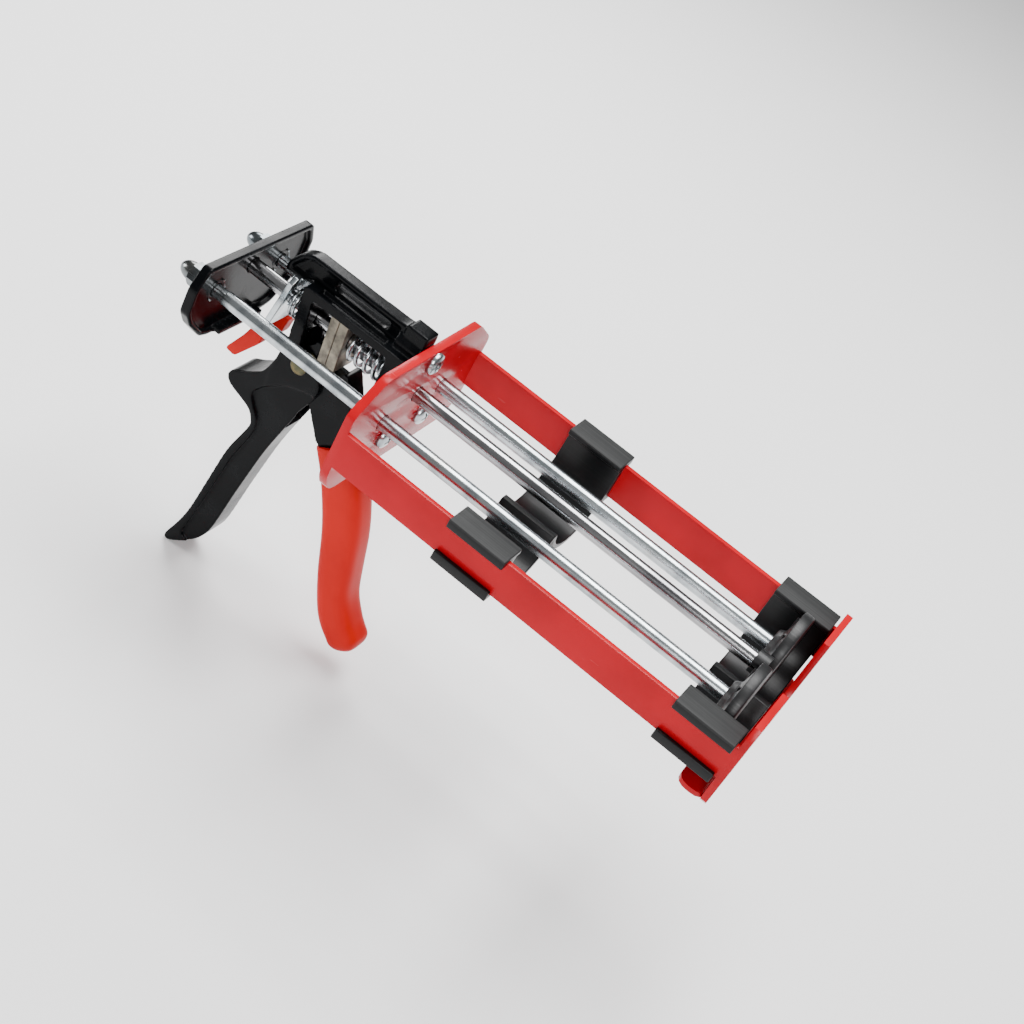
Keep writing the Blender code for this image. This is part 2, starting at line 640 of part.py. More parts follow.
def make_yoke():
    """Rear yoke: a dished plate that ties the three rods together."""
    outline = yoke_outline()
    yoke = slab("yoke", [rounded(outline, 1.6 * MM)], "X", YOKE_REAR, YOKE_REAR + YOKE_RIM_DEPTH,
                BLACK_CASTING)
    web_front = YOKE_REAR + YOKE_WEB
    dish = rounded(inset(outline, YOKE_RIM_WIDTH), 1.2 * MM)
    cut(yoke, slab("yoke_dish", [dish], "X", web_front, 0.0))
    join(yoke, box("yoke_shelf", (web_front - 1.0 * MM, -15.0 * MM, YOKE_BOTTOM + 0.3 * MM),
                   (YOKE_REAR + YOKE_RIM_DEPTH + 3.0 * MM, 15.0 * MM, YOKE_BOTTOM + 3.0 * MM)))
    centres = [(0.0, side * PUSH_ROD_Y, 0.0) for side in (-1, 1)]
    for index, centre in enumerate(centres):
        join(yoke, rod(f"yoke_boss_{index}", YOKE_BOSS_RADIUS, YOKE_REAR - YOKE_REAR_BOSS,
                       web_front - 0.6 * MM, centre))
    bores = [circle(THREAD_RADIUS + BORE_CLEARANCE, centre[1:]) for centre in centres]
    bores.append(circle(DRIVE_ROD_RADIUS + BORE_CLEARANCE, (0.0, DRIVE_ROD_RISE)))
    cut(yoke, slab("yoke_bores", bores, "X", 2 * YOKE_REAR, 0.0))
    return yoke


def hexagon(flats):
    """Corners of a hexagon, from its width across flats."""
    return circle(flats / math.sqrt(3), sides=6)


def shifted(points, centre):
    """Move an outline."""
    return [(u + centre[0], v + centre[1]) for u, v in points]


def make_push_rod(name, side):
    """Push rod with its nuts and pusher; side is -1 for the near rod and +1 for the far one."""
    y = side * PUSH_ROD_Y
    place = (y, 0.0)
    nut_rear = YOKE_REAR + YOKE_WEB + FIT_GAP
    nut_front = nut_rear + HEX_NUT_THICKNESS
    acorn_front = YOKE_REAR - YOKE_REAR_BOSS - FIT_GAP
    acorn_rear = acorn_front - ACORN_HEX
    tip = PUSHER_FRONT - 1.5 * MM
    tail = acorn_rear - 2.0 * MM
    shoulder = nut_front + FIT_GAP
    profile = [(0.0, tip), (PUSH_ROD_RADIUS, tip), (PUSH_ROD_RADIUS, shoulder),
               (THREAD_RADIUS, shoulder), (THREAD_RADIUS, tail), (0.0, tail)]
    turned(f"push_rod_{name}", profile, (0.0, y, 0.0), "X", ZINC)
    bore = THREAD_RADIUS + BORE_CLEARANCE
    slab(f"hex_nut_{name}", [shifted(hexagon(NUT_FLATS), place), circle(bore, place)], "X",
         nut_rear, nut_front, ZINC)
    acorn = slab(f"acorn_nut_{name}", [shifted(hexagon(NUT_FLATS), place)], "X",
                 acorn_rear, acorn_front, ZINC)
    dome_radius = 4.6 * MM
    dome = [(0.0, 0.8 * MM)] + [(dome_radius, 0.8 * MM)] + [
        (dome_radius * math.cos(math.radians(a)), -ACORN_DOME * math.sin(math.radians(a)))
        for a in range(0, 90, 15)] + [(0.0, -ACORN_DOME)]
    join(acorn, turned(f"acorn_dome_{name}", dome, (acorn_rear, y, 0.0)))
    cut(acorn, rod(f"acorn_bore_{name}", bore, tail - FIT_GAP, 0.0, (0.0, y, 0.0)))
    make_pusher(name, y, tip)


def make_pusher(name, y, tip):
    """Disc that presses a cartridge's piston, with a sloping shoulder and a hub behind it."""
    rear = PUSHER_FRONT - PUSHER_RIM
    hub_rear = PUSHER_FRONT - PUSHER_HUB_LENGTH
    profile = [
        (0.0, PUSHER_FRONT), (PUSHER_RADIUS - 1.0 * MM, PUSHER_FRONT),
        (PUSHER_RADIUS, PUSHER_FRONT - 1.0 * MM), (PUSHER_RADIUS, rear), (PUSHER_RADIUS - 3.5 * MM, rear),
        (PUSHER_HUB_RADIUS + 1.0 * MM, rear - 1.3 * MM), (PUSHER_HUB_RADIUS, hub_rear + 2.0 * MM),
        (PUSHER_HUB_RADIUS - 1.5 * MM, hub_rear), (0.0, hub_rear),
    ]
    pusher = turned(f"pusher_{name}", profile, (0.0, y, 0.0), "X", BLACK_PLASTIC, sides=32)
    cut(pusher, rod(f"pusher_bore_{name}", PUSH_ROD_RADIUS + BORE_CLEARANCE, 0.0, tip + FIT_GAP,
                    (0.0, y, 0.0)))


def make_drive_rod():
    """Centre rod that the grip plates push, riveted in the yoke, with a cap at its front."""
    centre = (0.0, 0.0, DRIVE_ROD_RISE)
    front = PUSHER_FRONT - 5.0 * MM
    rod("drive_rod", DRIVE_ROD_RADIUS, YOKE_REAR + 0.3 * MM, front, centre, "X", POLISHED)
    cap_rear = front - 4.0 * MM
    cap = rod("drive_rod_cap", 5.5 * MM, cap_rear, front + 2.0 * MM, centre, "X", BLACK_PLASTIC)
    cut(cap, rod("cap_bore", DRIVE_ROD_RADIUS + BORE_CLEARANCE, 0.0, front + FIT_GAP, centre))
    for side in (-1, 1):
        cut(cap, rod(f"cap_relief_{side}", PUSHER_RADIUS + FIT_GAP, 0.0, CARRIAGE_LENGTH,
                     (0.0, side * PUSH_ROD_Y, 0.0), sides=48))


# ---- trigger -------------------------------------------------------------------------------

SLEEVE_REAR = mm([(-29.0, -46.5), (-20.3, -60), (-10.5, -80), (-2.5, -103), (4.0, -118), (13, -131.5)])
SLEEVE_TOE = mm([(22, -136), (29, -131), (30.5, -122)])
SLEEVE_FRONT = mm([
    (24.5, -116.5), (17.2, -106), (13.2, -92), (8.5, -74), (2, -58), (-5.5, -44.5), (-12.8, -36.2),
])


def sleeve_outline():
    """Side view of the vinyl sleeve, from its top rear corner down and back up its front."""
    return SLEEVE_REAR + SLEEVE_TOE + SLEEVE_FRONT


def make_trigger():
    """Cast trigger lever with an arm that pushes the grip plates."""
    face = GRIP_REAR + (DRIVE_ROD_RISE - ARM_TIP_Z) * math.tan(GRIP_LEAN)
    tip_x = face - FIT_GAP / 2 - ARM_TIP_RADIUS / math.cos(GRIP_LEAN)
    head = arc(7.2 * MM, (PIVOT_X, PIVOT_Z), 255, 140, 7)
    arm = arc(ARM_TIP_RADIUS, (tip_x, ARM_TIP_Z), 180, 0, 6)
    stem = mm([(-46.2, -10.4), (-44.5, -11.2), (-33.0, -11.2), (-31, -6.5), (-28.5, -6.2), (-22, -18),
               (-18.5, -31)])
    core = inset(sleeve_outline(), SLEEVE_WALL + FIT_GAP)
    shoulder = mm([(-30.0, -44.6), (-39.5, -31.5), (-47, -24)])
    outline = head + arm + stem + list(reversed(core)) + shoulder
    trigger = slab("trigger_lever", [outline], "Y", -TRIGGER_HALF_WIDTH, TRIGGER_HALF_WIDTH, BLACK_CASTING)
    pivot = (PIVOT_X, 0.0, PIVOT_Z)
    cut(trigger, rod("trigger_bore", PIN_RADIUS + BORE_CLEARANCE, -20 * MM, 20 * MM, pivot, "Y"))
    cut(trigger, rod("spring_recess", 7.6 * MM, -7.0 * MM, -1.0 * MM, pivot, "Y"))
    hang(trigger, pivot)


def make_trigger_sleeve():
    """Vinyl sleeve dipped over the trigger lever's lower part."""
    sleeve = slab("trigger_sleeve", [smooth(sleeve_outline(), 3)], "Y",
                  -SLEEVE_HALF_WIDTH, SLEEVE_HALF_WIDTH, RED_VINYL)
    soft = sleeve.modifiers.new("rounding", "BEVEL")
    soft.width = SLEEVE_ROUNDING
    soft.segments = 2
    soft.limit_method = "ANGLE"
    soft.angle_limit = math.radians(60.0)
    mouth = mm([(-20, -30), (-36, -42)])
    pocket = inset(sleeve_outline(), SLEEVE_WALL) + mouth
    reach = TRIGGER_HALF_WIDTH + FIT_GAP
    cut(sleeve, slab("sleeve_pocket", [pocket], "Y", -reach, reach))
    hang(sleeve, (PIVOT_X, 0.0, PIVOT_Z))


def make_pivot():
    """Trigger pivot pin with a head at its near end."""
    half = CHEEK_HALF_WIDTH + 1.2 * MM
    seat = -CHEEK_HALF_WIDTH - FIT_GAP
    profile = [(0.0, half), (PIN_RADIUS, half), (PIN_RADIUS, seat), (PIN_RADIUS + 1.6 * MM, seat),
               (PIN_RADIUS + 1.6 * MM, -half - 0.6 * MM), (0.0, -half - 0.6 * MM)]
    turned("pivot_pin", profile, (PIVOT_X, 0.0, PIVOT_Z), "Y", BRASS)


def make_trigger_spring():
    """Torsion spring round the pivot that opens the trigger."""
    steps = 40
    points = [Vector((TORSION_START, TORSION_START, 7.5 * MM)),
              Vector((-TORSION_RADIUS, TORSION_START, 0.5 * MM))]
    for index in range(steps + 1):
        angle = math.pi - 2 * math.pi * TORSION_TURNS * index / steps
        along = TORSION_START + TORSION_LENGTH * index / steps
        points.append(Vector((TORSION_RADIUS * math.cos(angle), along, TORSION_RADIUS * math.sin(angle))))
    points.append(points[-1] + Vector((2.4 * MM, 0.0, -0.2 * MM)))
    pivot = Vector((PIVOT_X, 0.0, PIVOT_Z))
    wire_piece("trigger_spring", [point + pivot for point in points], TORSION_WIRE, BRASS)


# ---- grip plates, springs and release lever ------------------------------------------------

def make_grip_plates():
    """Two hardened plates round the drive rod, pushed by the trigger's arm, and their return spring."""
    outline = rounded([(-GRIP_HALF_WIDTH, GRIP_BOTTOM), (GRIP_HALF_WIDTH, GRIP_BOTTOM),
                       (GRIP_HALF_WIDTH, GRIP_TOP), (-GRIP_HALF_WIDTH, GRIP_TOP)], 1.5 * MM, 2)
    outline = shifted(outline, (0.0, -DRIVE_ROD_RISE))
    sway = GRIP_THICKNESS * math.tan(GRIP_LEAN)
    bore = circle(DRIVE_ROD_RADIUS + BORE_CLEARANCE + sway / 2)
    rear = GRIP_REAR
    for name in ("grip_plate_rear", "grip_plate_front"):
        plate = slab(name, [outline, bore], "X", 0.0, GRIP_THICKNESS, SINTERED)
        plate.location = (rear, 0.0, DRIVE_ROD_RISE)
        plate.rotation_euler = (0.0, -GRIP_LEAN, 0.0)
        rear += (GRIP_THICKNESS + FIT_GAP) / math.cos(GRIP_LEAN)
    centre = (0.0, 0.0, DRIVE_ROD_RISE)
    foot = rear + (RETURN_SPRING_RADIUS + SPRING_WIRE) * math.tan(GRIP_LEAN)
    coil("return_spring", RETURN_SPRING_RADIUS, RETURN_SPRING_TURNS, foot + SPRING_WIRE,
         CASTING_FRONT - FRONT_BLOCK_DEPTH - FIT_GAP - SPRING_WIRE, centre, ZINC)


def lever_outline():
    """Release lever seen along the drive rod: a notch for the fin above, two legs below."""
    notch = FIN_HALF_WIDTH + 0.6 * MM
    half = [
        (notch, LEVER_TOP - LEVER_NOTCH_DEPTH), (notch, LEVER_TOP), (LEVER_HALF_WIDTH - 2.0 * MM, LEVER_TOP),
        (LEVER_HALF_WIDTH, LEVER_TOP - 3.0 * MM), (LEVER_HALF_WIDTH, LEVER_LEG_FOOT),
        (LEVER_HALF_WIDTH - LEVER_LEG, LEVER_LEG_FOOT), (LEVER_HALF_WIDTH - LEVER_LEG, LEVER_FOOT),
    ]
    return mirrored(half)


def lever_lean():
    """Turn about the drive rod that sets the release lever in its leaning place."""
    return (Matrix.Translation((LEVER_X, 0.0, DRIVE_ROD_RISE)) @ Matrix.Rotation(LEVER_LEAN, 4, "Y")
            @ Matrix.Translation((0.0, 0.0, -DRIVE_ROD_RISE)))


def make_release_lever():
    """Leaning plate that locks the drive rod."""
    hole = circle(DRIVE_ROD_RADIUS + BORE_CLEARANCE + 0.3 * MM, (0.0, DRIVE_ROD_RISE))
    lever = slab("release_lever", [lever_outline(), hole], "X", 0.0, LEVER_THICKNESS, ZINC)
    hang(lever, RELEASE_HINGE, lever_lean())


def make_release_sleeve():
    """Vinyl thumb paddle on the release lever's two legs."""
    top = LEVER_FOOT - 1.2 * MM
    front = LEVER_THICKNESS + 1.5 * MM
    toe = LEVER_THICKNESS - 5.0 * MM
    side_view = [(-1.5 * MM, top), (front, top), (front, -18.0 * MM), (toe, PADDLE_BOTTOM),
                 (toe - PADDLE_THICKNESS, PADDLE_BOTTOM), (-4.0 * MM, -20.0 * MM)]
    reach = LEVER_HALF_WIDTH + 1.5 * MM
    sleeve = slab("release_sleeve", [rounded(side_view, 1.2 * MM, 2)], "Y", -reach, reach, RED_VINYL)
    window = LEVER_HALF_WIDTH - PADDLE_LEG
    helpers = [box("paddle_window", (-30 * MM, -window, -25.5 * MM), (30 * MM, window, 0.0))]
    for side in (-1, 1):
        low, high = sorted((side * (LEVER_HALF_WIDTH + FIT_GAP),
                            side * (LEVER_HALF_WIDTH - LEVER_LEG - FIT_GAP)))
        helpers.append(box(f"leg_pocket_{side}", (-FIT_GAP, low, LEVER_LEG_FOOT - FIT_GAP),
                           (LEVER_THICKNESS + FIT_GAP, high, 0.0)))
    cut(sleeve, *helpers)
    hang(sleeve, RELEASE_HINGE, lever_lean())
    for helper in helpers:
        helper.matrix_world = lever_lean()


def make_release_spring():
    """Spring between the release lever and the housing's rear wall."""
    reach = RELEASE_SPRING_RADIUS + RELEASE_WIRE
    lever_front = LEVER_X + LEVER_THICKNESS / math.cos(LEVER_LEAN) + reach * math.tan(LEVER_LEAN)
    seat = FIT_GAP + RELEASE_WIRE
    coil("release_spring", RELEASE_SPRING_RADIUS, 2.25, lever_front + seat, HOUSING_REAR - seat,
         (0.0, 0.0, DRIVE_ROD_RISE), ZINC, wire=RELEASE_WIRE)


def main():
    """Make every piece of the gun."""
    make_casting()
    make_carriage()
    make_saddles()
    make_screws()
    make_yoke()
    make_push_rod("near", -1)
    make_push_rod("far", 1)
    make_drive_rod()
    make_trigger()
    make_trigger_sleeve()
    make_pivot()
    make_trigger_spring()
    make_grip_plates()
    make_release_lever()
    make_release_sleeve()
    make_release_spring()


main()
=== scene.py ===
"""Finished look of a two-cartridge dispensing gun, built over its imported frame.

Units are metres, +X points to the nozzle end and +Z up. The origin is on the front face of the
carriage's back plate, midway between the two push rods.
"""
from __future__ import annotations

import logging
import math
from dataclasses import dataclass, field
from enum import Enum
from typing import Dict, List, Mapping, Sequence, Tuple, Union

import bmesh
import bpy
from mathutils import Euler, Matrix, Vector

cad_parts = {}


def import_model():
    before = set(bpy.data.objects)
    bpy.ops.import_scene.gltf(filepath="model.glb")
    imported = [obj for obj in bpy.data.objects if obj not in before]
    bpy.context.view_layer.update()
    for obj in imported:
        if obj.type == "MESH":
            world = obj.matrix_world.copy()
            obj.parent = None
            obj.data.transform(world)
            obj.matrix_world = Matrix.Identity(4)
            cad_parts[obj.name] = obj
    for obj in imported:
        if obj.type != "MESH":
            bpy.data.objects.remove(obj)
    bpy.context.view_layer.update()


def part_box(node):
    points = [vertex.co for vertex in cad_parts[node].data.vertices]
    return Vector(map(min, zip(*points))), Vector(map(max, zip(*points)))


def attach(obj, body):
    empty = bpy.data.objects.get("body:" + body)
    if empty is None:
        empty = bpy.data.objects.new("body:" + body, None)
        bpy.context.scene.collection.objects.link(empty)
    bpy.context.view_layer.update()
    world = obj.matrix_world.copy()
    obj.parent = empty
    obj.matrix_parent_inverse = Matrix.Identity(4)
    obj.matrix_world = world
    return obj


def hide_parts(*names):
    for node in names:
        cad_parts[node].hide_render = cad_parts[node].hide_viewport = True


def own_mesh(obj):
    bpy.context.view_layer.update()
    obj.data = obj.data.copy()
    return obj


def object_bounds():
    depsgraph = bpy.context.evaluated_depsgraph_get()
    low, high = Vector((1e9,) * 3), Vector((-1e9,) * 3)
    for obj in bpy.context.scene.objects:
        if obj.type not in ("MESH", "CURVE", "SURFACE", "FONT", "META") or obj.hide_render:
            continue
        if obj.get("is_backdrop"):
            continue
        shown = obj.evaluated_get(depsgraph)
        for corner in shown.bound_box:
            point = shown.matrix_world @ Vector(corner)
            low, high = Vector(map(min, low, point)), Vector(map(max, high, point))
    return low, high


LOG = logging.getLogger("dispensing_gun")
MM = 0.001
Point = Tuple[float, float]
Triple = Tuple[float, float, float]
Colour = Triple

# Corners in degrees from which a piece's edges shade sharp.
PLAIN_CORNER = 32.0
NUT_CORNER = 20.0
SCREW_CORNER = 40.0
CAST_CORNER = 60.0
DIPPED_CORNER = 80.0


class Body(Enum):
    """Rigid bodies that a piece can ride on."""

    FRAME = "gun_frame"
    RODS = "rod_carriage"
    TRIGGER = "trigger"
    GRIPS = "grip_plates"
    RELEASE = "release"


class Slot(Enum):
    """Material slots of the record."""

    CASTING = "black_casting"
    PAINT = "red_paint"
    VINYL = "red_vinyl"
    PLASTIC = "black_plastic"
    ZINC = "zinc_plate"
    STEEL = "polished_steel"
    SINTERED = "sintered_steel"
    YELLOW = "passivated_steel"


class Axis(Enum):
    """World axes, in the order of a point's coordinates."""

    X = 0
    Y = 1
    Z = 2


class Side(Enum):
    """Sides of the gun: near is at -Y and far at +Y."""

    NEAR = "near"
    FAR = "far"


class Joint(Enum):
    """Joints that press a spring."""

    GRIPS = "grip_slide"
    RELEASE = "release_hinge"


class Join(Enum):
    """Ways to combine a piece with a helper."""

    CUT = "DIFFERENCE"
    COMMON = "INTERSECT"


# ---- shader graph ----

Value = Union["Wire", float]


@dataclass(frozen=True)
class Wire:
    """A number that varies over a surface, with the arithmetic that shaders need."""

    graph: "Graph"
    socket: bpy.types.NodeSocket

    def _do(self, kind: str, first: Value, second: Value) -> "Wire":
        """Add one Math node.

        Args:
            kind: the Math node's operation.
            first: first value.
            second: second value.

        Returns:
            The result.
        """
        made = self.graph.add("ShaderNodeMath", {"operation": kind}, {0: first, 1: second})
        return Wire(self.graph, made.outputs[0])

    def __add__(self, other: Value) -> "Wire":
        """Sum."""
        return self._do("ADD", self, other)

    __radd__ = __add__

    def __sub__(self, other: Value) -> "Wire":
        """Difference."""
        return self._do("SUBTRACT", self, other)

    def __rsub__(self, other: Value) -> "Wire":
        """Reflected difference."""
        return self._do("SUBTRACT", other, self)

    def __mul__(self, other: Value) -> "Wire":
        """Product."""
        return self._do("MULTIPLY", self, other)

    __rmul__ = __mul__

    def clipped(self) -> "Wire":
        """Keep the value from 0 to 1."""
        return self._do("MINIMUM", self._do("MAXIMUM", self, 0.0), 1.0)

    def step(self, start: float, end: float) -> "Wire":
        """Rise smoothly from 0 to 1.

        Args:
            start: value that gives 0.
            end: value that gives 1.

        Returns:
            The smoothed mask.
        """
        values = {"Value": self, "From Min": start, "From Max": end, "To Min": 0.0, "To Max": 1.0}
        made = self.graph.add("ShaderNodeMapRange", {"interpolation_type": "SMOOTHSTEP"}, values)
        return Wire(self.graph, made.outputs["Result"])


class Graph:
    """Node graph of one Principled material."""

    def __init__(self, name: str) -> None:
        """Start a material.

        Args:
            name: the material's name.
        """
        self.material = bpy.data.materials.new(name)
        self.material.use_nodes = True
        self.tree = self.material.node_tree
        self.shader = self.tree.nodes["Principled BSDF"]

    def add(self, kind: str, settings: Mapping[str, object],
            values: Mapping[object, object]) -> bpy.types.Node:
        """Add a node.

        Args:
            kind: the node's type.
            settings: properties that are set first.
            values: what each input socket holds, or what feeds it.

        Returns:
            The new node.
        """
        made = self.tree.nodes.new(kind)
        for key, setting in settings.items():
            setattr(made, key, setting)
        for key, value in values.items():
            self.feed(made.inputs[key], value)
        return made

    def feed(self, socket: bpy.types.NodeSocket, value: object) -> None:
        """Set a socket, or link something to it.

        Args:
            socket: the socket that is fed.
            value: a constant, a wire or another node's output.
        """
        if isinstance(value, Wire):
            self.tree.links.new(value.socket, socket)
        elif isinstance(value, bpy.types.NodeSocket):
            self.tree.links.new(value, socket)
        else:
            socket.default_value = value

    def place(self, stretch: Triple = (1.0, 1.0, 1.0)) -> bpy.types.NodeSocket:
        """Give the surface's own position in metres.

        Args:
            stretch: factor along each axis.

        Returns:
            The stretched position.
        """
        spot = self.add("ShaderNodeTexCoord", {}, {}).outputs["Object"]
        made = self.add("ShaderNodeMapping", {"vector_type": "POINT"}, {"Vector": spot, "Scale": stretch})
        return made.outputs["Vector"]

    def noise(self, scale: float, detail: float, stretch: Triple = (1.0, 1.0, 1.0)) -> Wire:
        """Soft noise over the surface.

        Args:
            scale: features per metre.
            detail: octaves.
            stretch: factor along each axis; less than 1 draws the noise out.

        Returns:
            A value around 0.5.
        """
        values = {"Vector": self.place(stretch), "Scale": scale, "Detail": detail, "Roughness": 0.55}
        return Wire(self, self.add("ShaderNodeTexNoise", {}, values).outputs["Fac"])

    def cells(self, scale: float) -> Wire:
        """Distance to the nearest point of a cell pattern.

        Args:
            scale: cells per metre.

        Returns:
            The distance, from 0 at a cell's centre.
        """
        values = {"Vector": self.place(), "Scale": scale}
        return Wire(self, self.add("ShaderNodeTexVoronoi", {}, values).outputs["Distance"])

    def height(self, axis: Axis) -> Wire:
        """One coordinate of the surface's position, in metres."""
        made = self.add("ShaderNodeSeparateXYZ", {}, {0: self.place()})
        return Wire(self, made.outputs[axis.value])

    def blend(self, mask: Value, low: object, high: object) -> bpy.types.NodeSocket:
        """Mix two colours.

        Args:
            mask: 0 gives low and 1 gives high.
            low: first colour.
            high: second colour.

        Returns:
            The mixed colour.
        """
        made = self.add("ShaderNodeMix", {"data_type": "RGBA", "clamp_factor": True}, {})
        self.feed(made.inputs[0], mask)
        self.feed(made.inputs[6], (*low, 1.0) if isinstance(low, tuple) else low)
        self.feed(made.inputs[7], (*high, 1.0) if isinstance(high, tuple) else high)
        return made.outputs[2]

    def bump(self, relief: Wire, depth: float, strength: float) -> None:
        """Give the surface relief.

        Args:
            relief: height pattern.
            depth: height in metres of a full step of the pattern.
            strength: how much of it shows.
        """
        made = self.add("ShaderNodeBump", {}, {"Height": relief, "Distance": depth, "Strength": strength})
        self.feed(self.shader.inputs["Normal"], made.outputs["Normal"])

    def surface(self, values: Mapping[str, object]) -> None:
        """Set the shader's own sockets."""
        for key, value in values.items():
            self.feed(self.shader.inputs[key], value)


# ---- finishes ----


@dataclass(frozen=True)
class GlossCasting:
    """Die casting under thick gloss black enamel."""

    name: str = "gloss_casting"
    colour: Colour = (0.0012, 0.0015, 0.0020)
    dusty: Colour = (0.0034, 0.0040, 0.0048)
    slot: Slot = Slot.CASTING

    def build(self) -> bpy.types.Material:
        """Make the material."""
        graph = Graph(self.name)
        flow = graph.noise(60.0, 4.0)
        peel = graph.noise(700.0, 2.0)
        grain = graph.noise(2600.0, 2.0)
        rough = 0.18 + 0.10 * flow.step(0.35, 0.75) + 0.05 * grain
        graph.surface({
            "Base Color": graph.blend(flow.step(0.42, 0.72), self.colour, self.dusty),
            "Roughness": rough,
            "Specular IOR Level": 0.09,
        })
        graph.bump(peel * 0.8 + grain * 0.2, 0.08 * MM, 0.35)
        return graph.material


@dataclass(frozen=True)
class RedPaint:
    """Red powder coat on sheet steel, glossy with a slight orange peel."""

    name: str = "red_powder_coat"
    colour: Colour = (0.44, 0.0, 0.0080)
    deep: Colour = (0.35, 0.0, 0.0050)
    scuffed: Colour = (0.85, 0.10, 0.10)
    slot: Slot = Slot.PAINT

    def build(self) -> bpy.types.Material:
        """Make the material."""
        graph = Graph(self.name)
        cloud = graph.noise(26.0, 3.0)
        peel = graph.noise(520.0, 2.0)
        fleck = graph.cells(1500.0)
        scuff = graph.noise(300.0, 4.0, (0.12, 1.0, 1.0)).step(0.66, 0.80)
        tone = graph.blend(cloud.step(0.35, 0.72), self.colour, self.deep)
        graph.surface({
            "Base Color": graph.blend(scuff * 0.06, tone, self.scuffed),
            "Roughness": 0.20 + 0.08 * cloud + 0.14 * scuff,
            "Specular IOR Level": 0.15,
        })
        graph.bump(peel + 0.05 * fleck, 0.10 * MM, 0.40)
        return graph.material


@dataclass(frozen=True)
class DippedVinyl:
    """Soft red vinyl sleeve with a satin skin."""

    name: str = "dipped_vinyl"
    colour: Colour = (0.50, 0.004, 0.0006)
    deep: Colour = (0.41, 0.002, 0.0003)
    slot: Slot = Slot.VINYL

    def build(self) -> bpy.types.Material:
        """Make the material."""
        graph = Graph(self.name)
        cloud = graph.noise(34.0, 4.0)
        skin = graph.noise(1400.0, 3.0)
        wave = graph.noise(120.0, 2.0)
        graph.surface({
            "Base Color": graph.blend(cloud.step(0.35, 0.75), self.colour, self.deep),
            "Roughness": 0.34 + 0.14 * cloud + 0.08 * skin,
            "Specular IOR Level": 0.13,
        })
        graph.bump(0.7 * wave + 0.3 * skin, 0.12 * MM, 0.35)
        return graph.material


@dataclass(frozen=True)
class MouldedPlastic:
    """Black moulded nylon with a fine spark texture and rubbed patches."""

    name: str = "moulded_nylon"
    colour: Colour = (0.0045, 0.0048, 0.0053)
    rubbed: Colour = (0.018, 0.0185, 0.0195)
    slot: Slot = Slot.PLASTIC

    def build(self) -> bpy.types.Material:
        """Make the material."""
        graph = Graph(self.name)
        patch = graph.noise(70.0, 4.0)
        drag = graph.noise(900.0, 3.0, (0.02, 1.0, 1.0)).step(0.45, 0.70)
        spark = graph.noise(1900.0, 3.0)
        worn = (patch.step(0.45, 0.75) * 0.6 + drag * 0.5).clipped()
        graph.surface({
            "Base Color": graph.blend(worn, self.colour, self.rubbed),
            "Roughness": 0.34 + 0.20 * patch - 0.08 * drag,
            "Specular IOR Level": 0.34,
        })
        graph.bump(spark + 0.6 * drag, 0.06 * MM, 0.45)
        return graph.material


@dataclass(frozen=True)
class SaddlePlastic:
    """Extruded black nylon whose top pads are painted a lighter grey as a sheen, streaked, with fine lighter
    lines along X.
    """

    name: str = "extruded_nylon"
    colour: Colour = (0.0035, 0.0037, 0.0042)
    # Lighter grey: painted sheen on the top pads, and the fine lines along X.
    rubbed: Colour = (0.030, 0.031, 0.031)
    pad_foot: float = 8.4 * MM
    pad_face: float = 9.2 * MM

    def build(self) -> bpy.types.Material:
        """Make the material."""
        graph = Graph(self.name)
        line = graph.noise(1300.0, 3.0, (0.012, 1.0, 1.0))
        patch = graph.noise(80.0, 4.0)
        spark = graph.noise(1900.0, 3.0)
        # Mask of the top pads, where a lighter grey sheen is painted in.
        pad_sheen = graph.height(Axis.Z).step(self.pad_foot, self.pad_face)
        streaks = 0.55 + 0.9 * (line - 0.5) + 0.5 * (patch - 0.5)
        # Painted sheen on the top pads, broken up by streaks, plus fine lighter lines along X everywhere.
        worn = (pad_sheen * streaks + 0.10 * line.step(0.5, 0.7)).clipped()
        graph.surface({
            "Base Color": graph.blend(worn, self.colour, self.rubbed),
            "Roughness": 0.30 + 0.22 * pad_sheen + 0.10 * patch,
            "Specular IOR Level": 0.20,
        })
        graph.bump(line + 0.3 * spark, 0.05 * MM, 0.5)
        return graph.material


@dataclass(frozen=True)
class ZincPlate:
    """Bright zinc plating over drawn steel, with the marks of drawing along X."""

    name: str = "zinc_plating"
    colour: Colour = (0.52, 0.56, 0.58)
    cloudy: Colour = (0.27, 0.30, 0.32)
    warm: Colour = (0.52, 0.49, 0.43)
    draw: float = 0.03
    slot: Slot = Slot.ZINC

    def build(self) -> bpy.types.Material:
        """Make the material."""
        graph = Graph(self.name)
        line = graph.noise(1500.0, 3.0, (self.draw, 1.0, 1.0))
        cloud = graph.noise(110.0, 4.0)
        blush = graph.noise(45.0, 2.0)
        pit = graph.noise(2400.0, 2.0)
        tone = graph.blend(cloud.step(0.38, 0.70), self.colour, self.cloudy)
        graph.surface({
            "Base Color": graph.blend(blush.step(0.55, 0.75) * 0.5, tone, self.warm),
            "Metallic": 1.0,
            "Roughness": 0.13 + 0.14 * cloud + 0.09 * line,
        })
        graph.bump(line + 0.3 * pit, 0.03 * MM, 0.50)
        return graph.material


@dataclass(frozen=True)
class PolishedSteel:
    """Ground and polished steel bar."""

    name: str = "polished_bar"
    colour: Colour = (0.46, 0.46, 0.47)
    oiled: Colour = (0.20, 0.20, 0.21)
    slot: Slot = Slot.STEEL

    def build(self) -> bpy.types.Material:
        """Make the material."""
        graph = Graph(self.name)
        line = graph.noise(1800.0, 2.0, (0.02, 1.0, 1.0))
        smear = graph.noise(60.0, 4.0, (0.4, 1.0, 1.0))
        graph.surface({
            "Base Color": graph.blend(smear.step(0.40, 0.72), self.colour, self.oiled),
            "Metallic": 1.0,
            "Roughness": 0.10 + 0.12 * smear + 0.05 * line,
        })
        graph.bump(line, 0.01 * MM, 0.25)
        return graph.material


